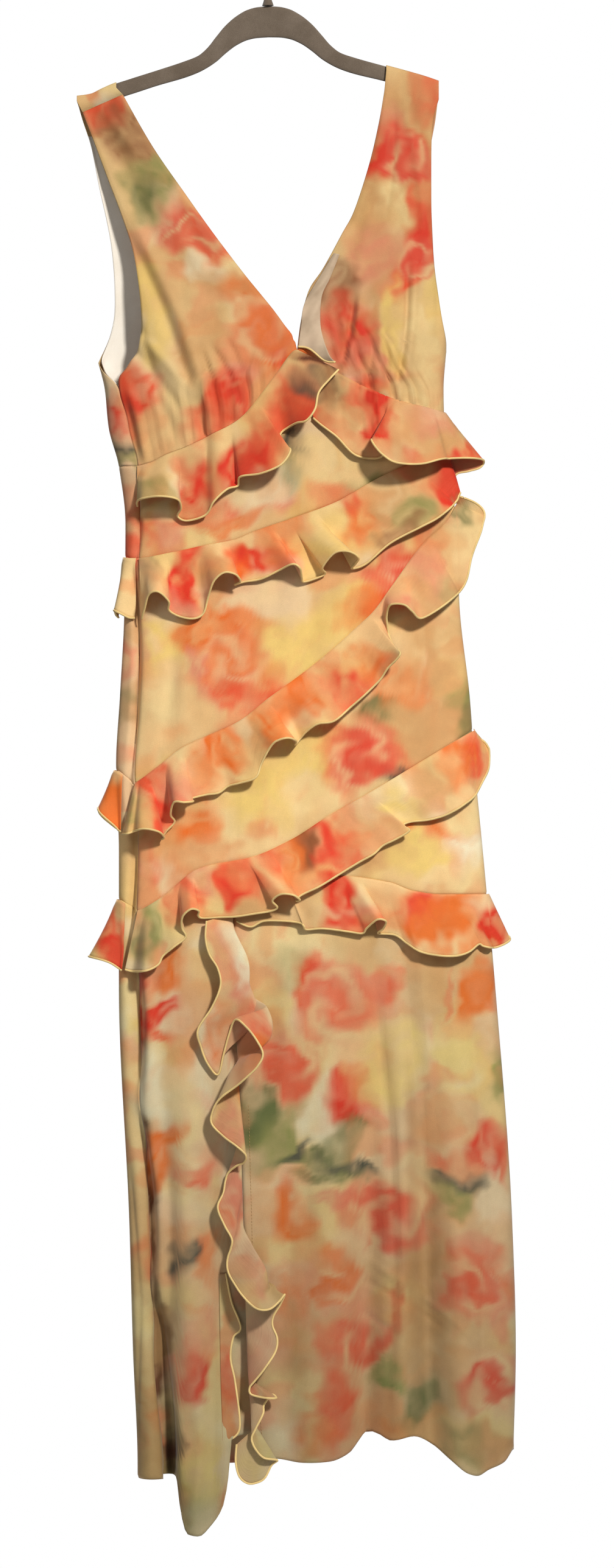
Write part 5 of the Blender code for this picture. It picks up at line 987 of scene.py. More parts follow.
def strap(side, arches, columns):
    """Points of a strap as it goes over a hanger arm."""
    across, below = grid_of(arches, ARCH_STEPS)
    x = mix(side.outer_x, side.inner_x, shares_of(columns))
    crest = Curve(side.crest)(x)[0]
    half_depth = -front_y(x, crest + STRAP_ARCH[0].below)
    parts = np.broadcast_arrays(x, across * half_depth, -crest - below)
    return np.stack(parts, axis=-1) * MM


def shoulder(seam, turn_at, columns):
    """The end of a strap that has come over the arm and meets the other strap."""
    f = shares_of(columns)
    x, drop = mix(seam.outer_x, seam.inner_x, f), mix(seam.outer_drop, seam.inner_drop, f)
    return body(turn_at(x, drop), drop)[None]


def lift(turn):
    """How far a ruffle stands off, more where the dress bends round its edges."""
    return RUFFLE_LIFT + EDGE_LIFT * np.cos(np.radians(turn)) ** EDGE_LIFT_SHARPNESS


def clear_y(x, drop):
    """y that keeps a ruffle clear of the front, measured square to the surface."""
    reach = RUFFLE_LIFT + CLEAR_MORE
    sides = [front_y(x + side * reach, drop) - reach * np.sqrt(1 - side * side) for side in CLEAR_SAMPLES]
    return np.minimum.reduce(sides)


def loft(tops, hems, rows, power=FLARE_POWER):
    """Points of a ruffle from its seam to its hem, kept clear of the dress under it."""
    v = np.linspace(0, 1, rows)[:, None, None]
    points = mix(tops, hems, v)
    points[..., 1] = mix(tops[:, 1], hems[:, 1], v[..., 0] ** power)
    clear = clear_y(*x_and_drop(points)) * MM
    settled = ease(v[..., 0] * ROOT_SHARPNESS)
    clear = mix(clear + ROOT_DOWN * MM, clear, settled)
    points[..., 1] = np.minimum(points[..., 1], clear)
    return points


def front_ruffle(waves, seam, rows):
    """Points of a ruffle set in a slanted front seam."""
    top_x, hem_x, hem_drop, out = waves_of(waves)
    drop = seam(top_x)[0]
    turn = front_turn(top_x, drop)
    tops = body(turn, drop, lift(turn) - ROOT_DOWN)
    return loft(tops, off_front(hem_x, hem_drop, out), rows)


def cascade_seam(waves):
    """Where each row of the cascade is sewn: always lower, and not across the row before it."""
    highest, lowest = [CASCADE_TOP], [waves[-1].hem_drop - CASCADE_HANG]
    for before, wave in zip(waves, waves[1:]):
        drop = highest[-1] + CASCADE_STEP
        edge = SLIT_AT(drop)[1]
        share = (before.hem_x - edge) / (wave.hem_x - edge)
        if 0 < share < CASCADE_PAST:
            drop = max(drop, (before.hem_drop - share * wave.hem_drop) / (1 - share))
        highest.append(drop)
    for wave in reversed(waves[:-1]):
        lowest.insert(0, min(lowest[0] - CASCADE_STEP, wave.hem_drop - CASCADE_HANG))
    drops = [mix(min(high, low), low, CASCADE_LEAN) for high, low in zip(highest, lowest)]
    for _ in range(CASCADE_SMOOTH):
        inner = [(a + 2 * b + c) / 4 for a, b, c in zip(drops, drops[1:], drops[2:])]
        drops = [drops[0], *inner, drops[-1]]
    return [max(min(drop, low), CASCADE_TOP) for drop, low in zip(drops, lowest)]


def slit_ruffle(waves, rows):
    """Points of the cascade down the slit, sewn to the slit's right edge."""
    sewn_at = [(drop, *wave) for drop, wave in zip(cascade_seam(waves), waves)]
    drop, hem_x, hem_drop, out = waves_of(sewn_at)
    tops = body(front_turn(SLIT_AT(drop)[1], drop), drop, RUFFLE_LIFT)
    points = loft(tops, off_front(hem_x, hem_drop, out), rows, CASCADE_POWER)
    v = np.linspace(0, 1, rows)[:, None]
    swell = BULGE_PEAK * v * (1 - v) ** 2 * BULGE_AT(-points[..., 2] / MM)[0]
    points[..., 0] += swell * MM
    points[..., 1] -= CASCADE_BULGE_OUT * swell * MM
    return points


def slit_underlay(rows, columns):
    """Points of the narrow ruffle on the slit's left edge, in the gap between the two edges."""
    drop, free_x = grid_of(SLIT_UNDERLAY, rows)
    f = np.linspace(0, 1, columns)
    edge = SLIT_AT(drop)[0] + UNDERLAY_CLEAR
    return body(front_turn(mix(edge, free_x, f), drop), drop, -UNDERLAY_IN * f)


def neck_facing(rows, columns):
    """Points of the facing that has rolled out over the right neck edge."""
    edge_x, edge_drop, free_x, free_drop = grid_of(NECK_FACING, rows)
    f = np.linspace(0, 1, columns)
    x, drop = mix(edge_x, free_x, f), mix(edge_drop, free_drop, f)
    drop = drop + FACING_WAVE * np.sin(2 * np.pi * f) * ease((drop - FACING_WAVE_FROM) / FACING_WAVE_GROWS)
    puff = np.sin(np.pi * f)
    curl = FACING_PUFF * puff + FACING_CURL * ease((drop - FACING_CURL_FROM) / FACING_GROWS) * f**2
    folds = FACING_FOLD * np.sin(drop / FACING_FOLD_LENGTH + 3 * f) * puff
    curl = curl + folds * ease((drop - FACING_FOLD_FROM) / FACING_GROWS)
    return body(front_turn(x, drop), drop, RUFFLE_LIFT + curl)


def back_ruffle(sizes, rows):
    """Points of a ruffle set in a back seam, with uneven flutes."""
    count = int(FLUTES * FLUTE_STEPS * (1 - sizes.start)) + 1
    share = np.linspace(sizes.start, 1 - FLUTE_END, count)
    turn, drop = back_seam_place(share, SEAMS[sizes.seam])
    drift = FLUTE_DRIFT * soft_noise(share * FLUTES / 2, share * 0, sizes.height)
    phase = 2 * np.pi * (FLUTES * (share - sizes.first) + 0.5 + drift * ease(share / FLUTE_DRIFT_GROWS))
    swell = (0.5 - 0.5 * np.cos(phase)) * ease((share - FLUTE_FLAT) / FLUTE_GROWS)
    swing = FLUTE_SWING * np.sin(phase)
    crest = sizes.crest * (1 + FLUTE_UNEVEN * np.sin(FLUTE_BEAT * phase + sizes.height))
    out = mix(FLUTE_TROUGH, crest, swell)
    fall = sizes.height * (1 - sizes.lift * swell)
    seam_out = lift(turn) - ROOT_DOWN
    v = np.linspace(0, 1, rows)[:, None]
    root = ROOT_DOWN * ease(v * ROOT_SHARPNESS)
    return body(turn + swing * v, drop + fall * v, mix(seam_out, out, v**FLARE_POWER) + root)


def linear(tone):
    """A colour as the eye sees it, turned into light."""
    return (np.array(TONES.get(tone, tone)) / 255) ** 2.2


def laid(colour, tone, share):
    """Dye of one tone over a colour."""
    return mix(colour, linear(tone), np.clip(share, 0, 1)[..., None])


def bleed(x, drop, broad, fine, seed):
    """How far the dye has run."""
    tongues = broad * soft_noise(x / BLEED_BROAD, drop / BLEED_BROAD, seed)
    return tongues + fine * soft_noise(x / BLEED_FINE, drop / BLEED_FINE, seed + 1)


def paint_blot(colour, x, drop, blot):
    lean = radians(blot.lean)
    across = ((x - blot.x) * np.cos(lean) + (drop - blot.drop) * np.sin(lean)) / blot.wide
    down = ((drop - blot.drop) * np.cos(lean) - (x - blot.x) * np.sin(lean)) / blot.tall
    away = np.hypot(across, down)
    patchy = BLOT_DENSE + BLOT_PATCHES * soft_noise(across * 1.6 + blot.x, down * 1.6, 21)
    patchy += BLOT_GRAIN * soft_noise(x / 7 + blot.drop, drop / 9, 22)
    inside = ease(BLOT_EDGE * (BLOT_REACH - away))
    return laid(colour, blot.tone, BLOT_STRENGTH * blot.strength * patchy * inside)


def paint_rose(colour, x, drop, rose):
    """Broad soft petals that wind round a darker heart."""
    size = ROSE_SPREAD * rose.radius
    across, down = (x - rose.x) / size, (drop - rose.drop) / size
    ragged = 1 + ROSE_RAGGED * soft_noise(across * 1.7 + rose.turn, down * 1.7, 23)
    away, turn = np.hypot(across, down * 1.1) * ragged, np.arctan2(down, across)
    inside = ease(ROSE_EDGE * (ROSE_REACH - away))
    petals = 0.5 + 0.5 * np.sin(2 * turn + ROSE_WIND * away + rose.turn)
    patchy = 0.8 + 0.4 * soft_noise(across * 2.3, down * 2.3 + rose.turn, 24)
    colour = laid(colour, "pink", ROSE_PINK * inside)
    colour = laid(colour, rose.tone, ROSE_PETALS * inside * petals * patchy)
    colour = laid(colour, "cream", ROSE_CREAM * inside * (1 - petals) ** 2 * ease(2 * away - 0.4))
    return laid(colour, rose.tone, ROSE_CENTRE * hill(away / ROSE_HEART) * patchy)


def paint(x, drop, blots, roses, seed, level=None):
    """The print at places of a piece of cloth, darkened by the painted shade down the dress. level is the
    true drop where drop is moved.
    """
    # painted shade: darker at the top and much darker towards the hem
    depth = np.stack(list(PAINTED_SHADE_AT(drop if level is None else level)), axis=-1)
    run_x, run_drop = bleed(x, drop, *BLEED_X, seed), bleed(x, drop, *BLEED_DROP, seed + 2)
    x, drop = x + run_x, drop + run_drop
    ground = ease(0.5 + hills(GROUND, x, drop, seed))
    pale = GROUND_SHELL * ease((drop - SHELL_FROM) / SHELL_GROWS)[..., None]
    cream = mix(linear("cream"), linear("shell"), pale)
    colour = mix(cream, linear("peach"), GROUND_PEACH * ground[..., None])
    for wash in WASHES:
        colour = laid(colour, wash.tone, wash.share * ease(hills(wash, x, drop, seed) - wash.least))
    for blot in blots:
        colour = paint_blot(colour, x, drop, blot)
    for rose in roses:
        colour = paint_rose(colour, x, drop, rose)
    return colour * depth


def paint_front(points):
    return paint(*x_and_drop(points), PANEL_BLOTS_AND_SHADE, ROSES, 31)


def paint_ruffle(points):
    """A ruffle's print runs on round its flutes instead of being thrown on them from the front."""
    x, drop = x_and_drop(points)
    run_on = RUFFLE_RUNS_ON * (points[..., 1] / MM - front_y(x, drop))
    return paint(x + run_on, drop, RUFFLE_BLOTS_AND_SHADOW, (), 41)


def paint_turned(points, cut, blots, roses, seed):
    """The same cloth cut from another place."""
    x, drop = x_and_drop(points)
    return paint(cut.turned_at - x, cut.start + (drop + cut.moved) % cut.length, blots, roses, seed, drop)


def paint_back(points):
    return paint_turned(points, BACK_CUT, PANEL_BLOTS_AND_SHADE, ROSES, 51)


def paint_back_ruffle(points):
    return paint_turned(points, BACK_RUFFLE_CUT, RUFFLE_BLOTS_AND_SHADOW, (), 61)


def flat_lengths(points):
    """Lengths along the cloth, across and down, in metres."""
    across = np.linalg.norm(np.diff(points, axis=1), axis=2)
    down = np.linalg.norm(np.diff(points, axis=0), axis=2)
    across = np.concatenate([np.zeros_like(across[:, :1]), np.cumsum(across, axis=1)], axis=1)
    down = np.concatenate([np.zeros_like(down[:1]), np.cumsum(down, axis=0)], axis=0)
    return np.stack([across, down], axis=-1)


def quads(rows, columns, closed):
    """The corners of the faces between a grid's points, closed round its columns or not."""
    index = np.arange(rows * columns).reshape(rows, columns)
    if closed:
        index = np.concatenate([index, index[:, :1]], axis=1)
    return np.stack([index[:-1, :-1], index[:-1, 1:], index[1:, 1:], index[1:, :-1]], axis=-1).reshape(-1, 4)


def grid_mesh(name, points, closed=False):
    """A mesh through a grid of points. An open one faces away from the middle of the dress."""
    faces = quads(*points.shape[:2], closed)
    flat = points.reshape(-1, 3)
    corners = flat[faces]
    normals = np.cross(corners[:, 2] - corners[:, 0], corners[:, 3] - corners[:, 1])
    if not closed and normals[:, 1].sum() * flat[:, 1].mean() < 0:
        faces = faces[:, ::-1]
    mesh = bpy.data.meshes.new(name)
    mesh.vertices.add(len(flat))
    mesh.vertices.foreach_set("co", flat.ravel())
    mesh.loops.add(faces.size)
    mesh.loops.foreach_set("vertex_index", faces.ravel())
    mesh.polygons.add(len(faces))
    mesh.polygons.foreach_set("loop_start", np.arange(0, faces.size, 4))
    mesh.update(calc_edges=True)
    mesh.shade_smooth()
    lengths = flat_lengths(points).reshape(-1, 2)
    layer = mesh.uv_layers.new(name="cloth")
    layer.uv.foreach_set("vector", lengths[faces].ravel())
    return mesh


def add_piece(name, mesh, *materials):
    piece = bpy.data.objects.new(name, mesh)
    bpy.context.collection.objects.link(piece)
    for made in materials:
        mesh.materials.append(made)
    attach(piece, "root")
    return piece


def shell(name, points, *finishes):
    """A thin sheet of cloth through a grid of points. The second finish is its wrong side's."""
    piece = add_piece(name, grid_mesh(name, points), *finishes)
    wall = piece.modifiers.new("wall", "SOLIDIFY")
    wall.thickness, wall.offset, wall.material_offset = CLOTH_WALL * MM, 0.0, len(finishes) - 1
    return piece


def closed_form(name, points, finish):
    """A form through rings of points."""
    return add_piece(name, grid_mesh(name, points, closed=True), finish)


def tube_points(path, away, radius, sides):
    """Rings round a path, closed to a point at both ends. away is the side that starts each ring."""
    path = np.concatenate([path[:1], path, path[-1:]])
    away = np.concatenate([away[:1], away, away[-1:]])
    way = np.gradient(path, axis=0)
    way[0], way[-1] = way[1], way[-2]
    way /= np.linalg.norm(way, axis=1)[:, None]
    aside = away - (away * way).sum(axis=1)[:, None] * way
    aside /= np.linalg.norm(aside, axis=1)[:, None]
    behind = np.cross(way, aside)
    turn = np.linspace(0, 2 * np.pi, sides, endpoint=False)[:, None]
    rings = np.cos(turn) * aside[:, None] + np.sin(turn) * behind[:, None]
    size = np.full(len(path), radius * MM)
    size[[0, -1]] *= END_SIZE
    return path[:, None] + rings * size[:, None, None]


def along_path(path, distance):
    """Places at distances along a path, in metres, and the path's length."""
    done = np.concatenate([[0], np.cumsum(np.linalg.norm(np.diff(path, axis=0), axis=1))])
    return np.stack([np.interp(distance, done, path[:, k]) for k in range(3)], axis=-1), done[-1]


def stitches(name, path, finish):
    """A line of short stitches on the front, each a bead of thread that dips into the cloth at both ends."""
    total = along_path(path, [0])[1]
    grids = []
    for start in np.arange(STITCH_GAP * MM, total - STITCH * MM, (STITCH + STITCH_GAP) * MM):
        spots = along_path(path, start + np.linspace(0, STITCH * MM, len(STITCH_OUT)))[0]
        spots[:, 1] += np.array(STITCH_OUT) * MM
        away = np.tile([[0.0, -1.0, 0.3]], (len(spots), 1))
        grids.append(tube_points(spots, away, STITCH_RADIUS, STITCH_SIDES))
    rings, sides = grids[0].shape[:2]
    faces = quads(rings, sides, True)[None] + rings * sides * np.arange(len(grids))[:, None, None]
    mesh = bpy.data.meshes.new(name)
    mesh.from_pydata(np.concatenate(grids).reshape(-1, 3).tolist(), [], faces.reshape(-1, 4).tolist())
    mesh.shade_smooth()
    return add_piece(name, mesh, finish)


class Nodes:
    """A material's node tree, built line by line."""

    def __init__(self, name):
        self.material = bpy.data.materials.new(name)
        self.material.use_nodes = True
        self.tree = self.material.node_tree
        self.shader = self.tree.nodes["Principled BSDF"]

    def add(self, kind, links=(), **values):
        """A node with its settings, and sockets linked or set by name or number."""
        node = self.tree.nodes.new(kind)
        for key, value in values.items():
            setattr(node, key, value)
        for socket, source in dict(links).items():
            self.put(node, socket, source)
        return node

    def put(self, node, socket, source):
        if isinstance(source, bpy.types.NodeSocket):
            self.tree.links.new(source, node.inputs[socket])
        else:
            node.inputs[socket].default_value = source

    def place(self):
        return self.add("ShaderNodeTexCoord").outputs["Object"]

    def place_on_cloth(self):
        return self.add("ShaderNodeUVMap", uv_map="cloth").outputs["UV"]

    def times(self, first, second):
        return self.add("ShaderNodeMath", {0: first, 1: second}, operation="MULTIPLY").outputs[0]

    def noise(self, place, scale, detail=2.0, rough=0.5):
        links = {"Vector": place, "Scale": scale, "Detail": detail, "Roughness": rough}
        return self.add("ShaderNodeTexNoise", links).outputs["Fac"]

    def stretched(self, place, scale):
        links = {"Vector": place, "Scale": scale}
        return self.add("ShaderNodeMapping", links).outputs["Vector"]

    def ranged(self, value, low, high, to_low=0.0, to_high=1.0):
        links = {"Value": value, "From Min": low, "From Max": high, "To Min": to_low, "To Max": to_high}
        return self.add("ShaderNodeMapRange", links).outputs["Result"]

    def blend(self, kind, share, first, second):
        node = self.add("ShaderNodeMix", data_type="RGBA", blend_type=kind)
        for socket, source in ((0, share), (6, first), (7, second)):
            self.put(node, socket, source)
        return node.outputs[2]

    def shaded(self, colour, light):
        """A colour made lighter or darker by a value."""
        grey_light = self.add("ShaderNodeCombineColor", {0: light, 1: light, 2: light}).outputs[0]
        return self.blend("MULTIPLY", 1.0, colour, grey_light)

    def bump(self, height, strength, distance, **more):
        links = {"Height": height, "Strength": strength, "Distance": distance, **more}
        return self.add("ShaderNodeBump", links).outputs["Normal"]

    def finish(self, colour, roughness, normal=None, sheen=0.0, sheen_roughness=0.5, specular=0.5,
               metallic=0.0):
        sockets = {"Base Color": colour, "Roughness": roughness, "Sheen Weight": sheen, "Metallic": metallic,
                   "Sheen Roughness": sheen_roughness, "Specular IOR Level": specular}
        if normal is not None:
            sockets["Normal"] = normal
        for socket, source in sockets.items():
            self.put(self.shader, socket, source)
        return self.material


def grey(value):
    return (value, value, value, 1.0)


def chiffon(name, wrong_side=False):
    """Printed crepe chiffon: dye that is a little uneven, a fine crepe grain and a soft sheen."""
    made = Nodes(name)
    place, on_cloth = made.place(), made.place_on_cloth()
    dye = made.add("ShaderNodeAttribute", attribute_name="dye").outputs["Color"]
    wash = made.ranged(made.noise(place, 34.0, 3.0, 0.6), 0.3, 0.7, 0.93, 1.06)
    grain = made.ranged(made.noise(on_cloth, 1300.0, 2.0, 0.7), 0.3, 0.7, 0.9, 1.08)
    threads = made.noise(made.stretched(on_cloth, (260.0, 2400.0, 1.0)), 1.0, 1.0)
    slubs = made.ranged(threads, 0.3, 0.7, 0.97, 1.03)
    tinted = made.shaded(dye, made.times(made.times(wash, grain), slubs))
    if wrong_side:
        tinted = made.blend("MIX", 0.34, tinted, (0.54, 0.38, 0.23, 1.0))
    crepe = made.bump(made.noise(on_cloth, 900.0, 2.0, 0.6), 0.35, 0.0003)
    crinkles = made.noise(made.stretched(on_cloth, (55.0, 22.0, 1.0)), 1.0, 3.0, 0.55)
    return made.finish(tinted, made.ranged(grain, 0.9, 1.08, 0.66, 0.8),
                       made.bump(crinkles, 0.45, 0.0012, Normal=crepe),
                       sheen=0.22, sheen_roughness=0.4, specular=0.28)


def woven_lining(name):
    """Plain off-white lining with a faint weave."""
    made = Nodes(name)
    place = made.place_on_cloth()
    soft = made.ranged(made.noise(place, 30.0, 3.0), 0.3, 0.7, 0.0, 1.0)
    weave = made.noise(made.stretched(place, (900.0, 1500.0, 1.0)), 1.0, 1.0)
    base = made.blend("MIX", soft, (0.84, 0.78, 0.68, 1.0), (0.93, 0.88, 0.79, 1.0))
    colour = made.blend("MULTIPLY", made.ranged(weave, 0.3, 0.7, 0.0, 0.5), base, grey(0.86))
    return made.finish(colour, 0.7, made.bump(weave, 0.3, 0.0003), sheen=0.15)


def faded_facing(name):
    """The wrong side of the neck facing: the print seen through, greyed, with painted shade: its colour and a
    darker shaded copy of it are mixed in soft random patches.
    """
    made = Nodes(name)
    share = made.ranged(made.noise(made.place(), 26.0, 3.0, 0.6), 0.35, 0.65)
    # painted shade: a lit and a shaded copy of the facing's colour, mixed by noise
    base = made.blend("MIX", share, (0.60, 0.45, 0.31, 1.0), (0.38, 0.28, 0.18, 1.0))
    grain = made.noise(made.place_on_cloth(), 1300.0, 2.0, 0.7)
    colour = made.blend("MULTIPLY", made.ranged(grain, 0.3, 0.7, 0.0, 0.5), base, grey(0.8))
    return made.finish(colour, 0.72, made.bump(grain, 0.35, 0.0003), sheen=0.2)


def overlock_thread(name, tone):
    """Close yellow thread wrapped over an edge, turn beside turn."""
    made = Nodes(name)
    place = made.place_on_cloth()
    links = {"Vector": made.stretched(place, (300.0, 1100.0, 1.0)), "Scale": 1.0, "Distortion": 1.2}
    turns = made.add("ShaderNodeTexWave", links, wave_profile="SIN", bands_direction="Y").outputs["Fac"]
    worn = made.ranged(made.noise(place, 60.0, 2.0), 0.3, 0.7, 0.85, 1.08)
    twisted = made.blend("MIX", turns, (*(linear(tone) * 0.82), 1.0), (*linear(tone), 1.0))
    return made.finish(made.shaded(twisted, worn), 0.55, made.bump(turns, 0.25, 0.0003), sheen=0.1)


def flocking(name):
    """Short velvety fibres on the hanger, worn lighter here and there."""
    made = Nodes(name)
    place = made.place()
    fibres = made.noise(place, 1500.0, 3.0, 0.75)
    worn = made.ranged(made.noise(place, 30.0, 4.0, 0.6), 0.35, 0.7)
    base = made.blend("MIX", worn, (0.150, 0.115, 0.085, 1.0), (0.205, 0.162, 0.125, 1.0))
    colour = made.blend("MULTIPLY", made.ranged(fibres, 0.3, 0.65, 0.55, 0.0), base, grey(0.5))
    return made.finish(colour, 0.95, made.bump(fibres, 0.7, 0.0005), sheen=0.6, sheen_roughness=0.45,
                       specular=0.15)


def bright_wire(name):
    """Plated wire, drawn and slightly scuffed."""
    made = Nodes(name)
    scuffs = made.noise(made.stretched(made.place(), (900.0, 900.0, 120.0)), 1.0, 3.0, 0.6)
    colour = made.blend("MIX", made.ranged(scuffs, 0.35, 0.7), grey(0.66), grey(0.5))
    return made.finish(colour, made.ranged(scuffs, 0.3, 0.7, 0.2, 0.38), made.bump(scuffs, 0.15, 0.0002),
                       metallic=1.0)


def pale_floor(name):
    """Matt pale floor, faintly mottled."""
    made = Nodes(name)
    return made.finish(made.blend("MIX", made.noise(made.place(), 2.0, 2.0), grey(0.80), grey(0.84)), 0.9)


print_right = chiffon("chiffon_print")
print_wrong = chiffon("chiffon_wrong_side_print", wrong_side=True)
lining_white = woven_lining("lining_weave")
facing_grey = faded_facing("facing_faded")
merrow = overlock_thread("overlock_edge", (246, 214, 142))
thread = overlock_thread("sewing_thread", (196, 158, 104))
flock = flocking("flock_taupe")
steel = bright_wire("plated_wire")

# Sides of the bodice: the seam at its foot, how it turns, and its gathers' height, number and place
Side = namedtuple("Side", "seam_place seam turn_at edge_turn gather_out gathers gathered_at gathered_wide")
front_left = Side(seam_place, SEAMS["bust"], front_turn, left_seam_turn, 3.3, 15, 0.62, 0.34)
front_right = Side(seam_place, SEAMS["bust"], front_turn, right_seam_turn, 3.3, 15, 0.66, 0.22)
back_left = Side(back_seam_place, SEAMS["back_bust"], back_turn, left_back_turn, 0.8, 9, 0.6, 0.3)
back_right = Side(back_seam_place, SEAMS["back_bust"], back_turn, right_seam_turn, 0.8, 9, 0.6, 0.3)


def sewn(name, points, colours):
    """A printed piece of the dress, in place of its solid."""
    piece = shell(name + "_cloth", points, print_right, print_wrong)
    tint = piece.data.color_attributes.new("dye", "FLOAT_COLOR", "POINT")
    with_alpha = np.concatenate([colours, np.ones_like(colours[..., :1])], axis=-1)
    tint.data.foreach_set("color", with_alpha.astype(np.float32).ravel())
    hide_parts(name)


def overlocked(name, edge, inner):
    """The yellow overlocked edge of a piece. inner is the line of points next to its edge."""
    bead = closed_form(name + "_edge", tube_points(edge, inner - edge, BEAD, EDGE_SIDES), merrow)
    return bead


def edged(name, points, paint_at):
    """A ruffle with its overlocked edge along the last row of its points."""
    bead = overlocked(name, points[-1], points[-2])
    sewn(name, points, paint_at(points))


def even_shares(start, end, width):
    """Shares across a panel, close enough for the size of a face."""
    return np.linspace(start, end, max(3, round((end - start) * width / CLOTH_STEP)))


def make_bodice():
    left = even_shares(0, NECK_SHARE, FRONT_WIDTH)
    points = bodice(front_left, left, CUP_LEFT, CUP_STEPS_LEFT)
    sewn("front_bodice_left", points, paint_front(points))
    right = even_shares(NECK_SHARE, 1, FRONT_WIDTH)[::-1]
    points = np.concatenate([shoulder(BACK_RIGHT[0], back_turn, right),
                             strap(STRAP_RIGHT, STRAP_ARCH[::-1], right),
                             bodice(front_right, right, CUP_RIGHT, CUP_STEPS_RIGHT)])
    sewn("front_bodice_right", points, paint_front(points))
    left = even_shares(0, BACK_V_SHARE, BACK_WIDTH)
    points = np.concatenate([shoulder(CUP_LEFT[0], front_turn, left), strap(STRAP_LEFT, STRAP_ARCH, left),
                             bodice(back_left, left, BACK_LEFT, BACK_BODICE_STEPS)])
    sewn("back_bodice_left", points, paint_back(points))
    right = even_shares(BACK_V_SHARE, 1, BACK_WIDTH)[::-1]
    points = bodice(back_right, right, BACK_RIGHT, BACK_BODICE_STEPS)
    sewn("back_bodice_right", points, paint_back(points))


def make_lining():
    points = bodice(back_left, even_shares(0, BACK_V_SHARE, BACK_WIDTH), BACK_LEFT, BACK_BODICE_STEPS, -1)
    reach = round(points.shape[1] * (LINING_REACH - 1) / BACK_COLUMNS_LEFT)
    points = points[round(len(points) * LINING_FROM / BACK_STEPS):, :reach]
    piece = shell("back_lining_left_cloth", points, lining_white)
    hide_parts("back_lining_left")


def make_facing():
    points = neck_facing(*FACING_GRID)
    piece = shell("neck_facing_right_cloth", points, facing_grey)
    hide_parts("neck_facing_right")
    overlocked("neck_facing_right", points[-1], points[-2])


def make_panels():
    columns = round(FRONT_WIDTH / CLOTH_STEP)
    for name, top, bottom, height in PANELS:
        place, left_turn, paint_at = seam_place, left_seam_turn, paint_front
        if name.startswith("back"):
            place, left_turn, paint_at = back_seam_place, left_back_turn, paint_back
        points = panel(SEAMS[top], SEAMS[bottom], place, left_turn, round(height / CLOTH_STEP), columns)
        sewn(name, points, paint_at(points))


def make_skirt_fronts():
    rows = round(SKIRT_HEIGHT / CLOTH_STEP)
    for name, first, last, hem in (("front_skirt_left", 0, SLIT_SHARE, "hem_left"),
                                   ("front_skirt_right", SLIT_SHARE, 1, "hem_right")):
        columns = round((last - first) * FRONT_WIDTH / CLOTH_STEP)
        points = skirt_front(first, last, SEAMS[hem], first == 0, rows, columns)
        sewn(name, points, paint_front(points))


def make_ruffles():
    for name, seam, waves in RUFFLES:
        edged(name, front_ruffle(waves, SEAMS[seam], RUFFLE_ROWS), paint_ruffle)
    for sizes in BACK_RUFFLES:
        edged(sizes.name, back_ruffle(sizes, BACK_RUFFLE_ROWS), paint_back_ruffle)
    edged("ruffle_slit", slit_ruffle(RUFFLE_SLIT, CASCADE_ROWS), paint_ruffle)
    points = slit_underlay(*UNDERLAY_GRID)
    edge = overlocked("slit_underlay", points[:, -1], points[:, -2])
    sewn("slit_underlay", points, paint_ruffle(points))


def make_stitches():
    """Top-stitching beside the slit."""
    drop = np.linspace(STITCHES_FROM, STITCHES_TO, 200)
    path = body(front_turn(SLIT_AT(drop)[1] + STITCHES_ASIDE, drop), drop, CLOTH_WALL / 2)
    made = stitches("slit_topstitching", path, thread)


def turned(points):
    """Points of the hanger, leaning as it hangs."""
    lean = radians(HANGER_TILT)
    c, s = np.cos(lean), np.sin(lean)
    x, y, z = points[..., 0], points[..., 1], points[..., 2]
    return np.stack([x * c - z * s, y, x * s + z * c], axis=-1) * MM


def squared(wave):
    """A round wave pushed out into the corners."""
    return np.sign(wave) * np.abs(wave) ** HANGER_SQUARE


def make_hanger():
    reach = HANGER_OUTLINE[-1].x
    x = np.concatenate([np.linspace(-reach, -HANGER_MIDDLE, ARM_STEPS)[:-1],
                        np.linspace(-HANGER_MIDDLE, HANGER_MIDDLE, HANGER_STEPS),
                        np.linspace(HANGER_MIDDLE, reach, ARM_STEPS)[1:]])
    top, bottom = Curve(HANGER_OUTLINE)(np.abs(x))
    around = np.linspace(0, 2 * np.pi, HANGER_SIDES, endpoint=False)
    middle, half = (top + bottom) / 2, (bottom - top) / 2
    ends = np.ones_like(x)[:, None]
    ends[[0, -1]] = END_SIZE
    y = HANGER_THICK / 2 * squared(np.cos(around)) * ends
    z = -middle[:, None] - half[:, None] * squared(np.sin(around)) * ends
    points = np.stack(np.broadcast_arrays(x[:, None], y, z), axis=-1)
    piece = closed_form("hanger_body_flocked", turned(points), flock)
    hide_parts("hanger_body")


def make_collar():
    inside = [(COLLAR_BORE, COLLAR_OUTSIDE[-1][1]), (COLLAR_BORE, COLLAR_OUTSIDE[0][1])]
    profile = [inside[1], *zip(*along(COLLAR_OUTSIDE, np.linspace(0, 1, COLLAR_STEPS))), *inside]
    around = np.linspace(0, 2 * np.pi, COLLAR_SIDES, endpoint=False)
    points = np.array([[(radius * np.cos(turn), radius * np.sin(turn), level) for turn in around]
                       for radius, level in profile])
    piece = closed_form("hanger_collar_flocked", turned(points), flock)
    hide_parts("hanger_collar")


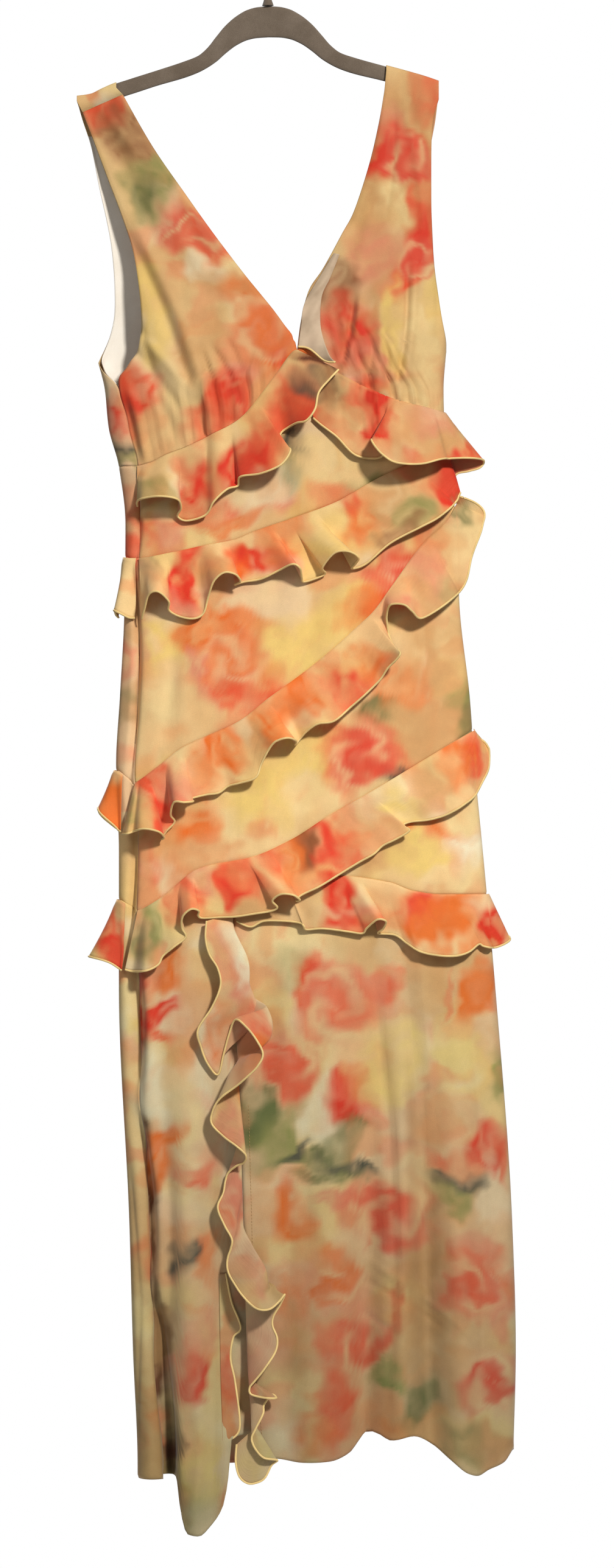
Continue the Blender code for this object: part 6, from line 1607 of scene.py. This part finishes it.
def make_hook():
    middle = HOOK_INSIDE + HOOK_WIRE / 2
    turn = np.radians(np.linspace(HOOK_FIRST, HOOK_LAST, HOOK_BEND_STEPS))
    bend = [(middle * np.cos(a), 0, middle * np.sin(a) - HOOK_INSIDE) for a in turn]
    points = along([(x, 0, z) for x, z in HOOK_SHANK] + bend, np.linspace(0, 1, HOOK_STEPS)).T
    away = np.tile([[0.0, 1.0, 0.0]], (len(points), 1))
    wire = tube_points(turned(points), away, HOOK_WIRE / 2, HOOK_SIDES)
    piece = closed_form("hanger_hook_wire", wire, steel)
    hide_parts("hanger_hook")


def make_floor():
    bpy.ops.mesh.primitive_circle_add(vertices=96, radius=1.0, fill_type="NGON",
                                      location=(0.04, 0, FLOOR_LEVEL))
    floor = bpy.context.object
    floor.name = "floor"
    floor.data.materials.append(pale_floor("floor_pale"))


def make_light():
    """Soft studio light from three round lamps, before a plain white ground that lights the dress little."""
    world = bpy.data.worlds.new("studio")
    world.use_nodes = True
    tree = world.node_tree
    sky = tree.nodes["Background"]
    sky.inputs["Color"].default_value = grey(1.0)
    seen = tree.nodes.new("ShaderNodeMapRange")
    seen.inputs["To Min"].default_value, seen.inputs["To Max"].default_value = WORLD_LIGHT, 1.0
    rays = tree.nodes.new("ShaderNodeLightPath")
    tree.links.new(rays.outputs["Is Camera Ray"], seen.inputs["Value"])
    tree.links.new(seen.outputs["Result"], sky.inputs["Strength"])
    bpy.context.scene.world = world
    bpy.context.scene.view_settings.view_transform = "Standard"
    for name, place, size, power, tint in LAMPS:
        data = bpy.data.lights.new(name, "AREA")
        data.shape, data.size, data.energy, data.color = "DISK", size, power, tint
        lamp = bpy.data.objects.new(name, data)
        lamp.location = place
        lamp.rotation_mode = "QUATERNION"
        lamp.rotation_quaternion = (Vector(LOOK_AT) - Vector(place)).to_track_quat("-Z", "Y")
        bpy.context.collection.objects.link(lamp)


def make_camera():
    data = bpy.data.cameras.new("camera")
    data.sensor_width = 36.0
    data.lens = data.sensor_width * CAMERA_AWAY / (FRAME_HEIGHT * MM)
    camera = bpy.data.objects.new("camera", data)
    camera.location = Vector(LOOK_AT) + Vector((0, -CAMERA_AWAY, 0))
    camera.rotation_euler = (radians(90), 0, 0)
    bpy.context.collection.objects.link(camera)
    bpy.context.scene.camera = camera


for make in (make_bodice, make_lining, make_facing, make_panels, make_skirt_fronts, make_ruffles,
             make_stitches, make_hanger, make_collar, make_hook, make_floor, make_light, make_camera):
    make()
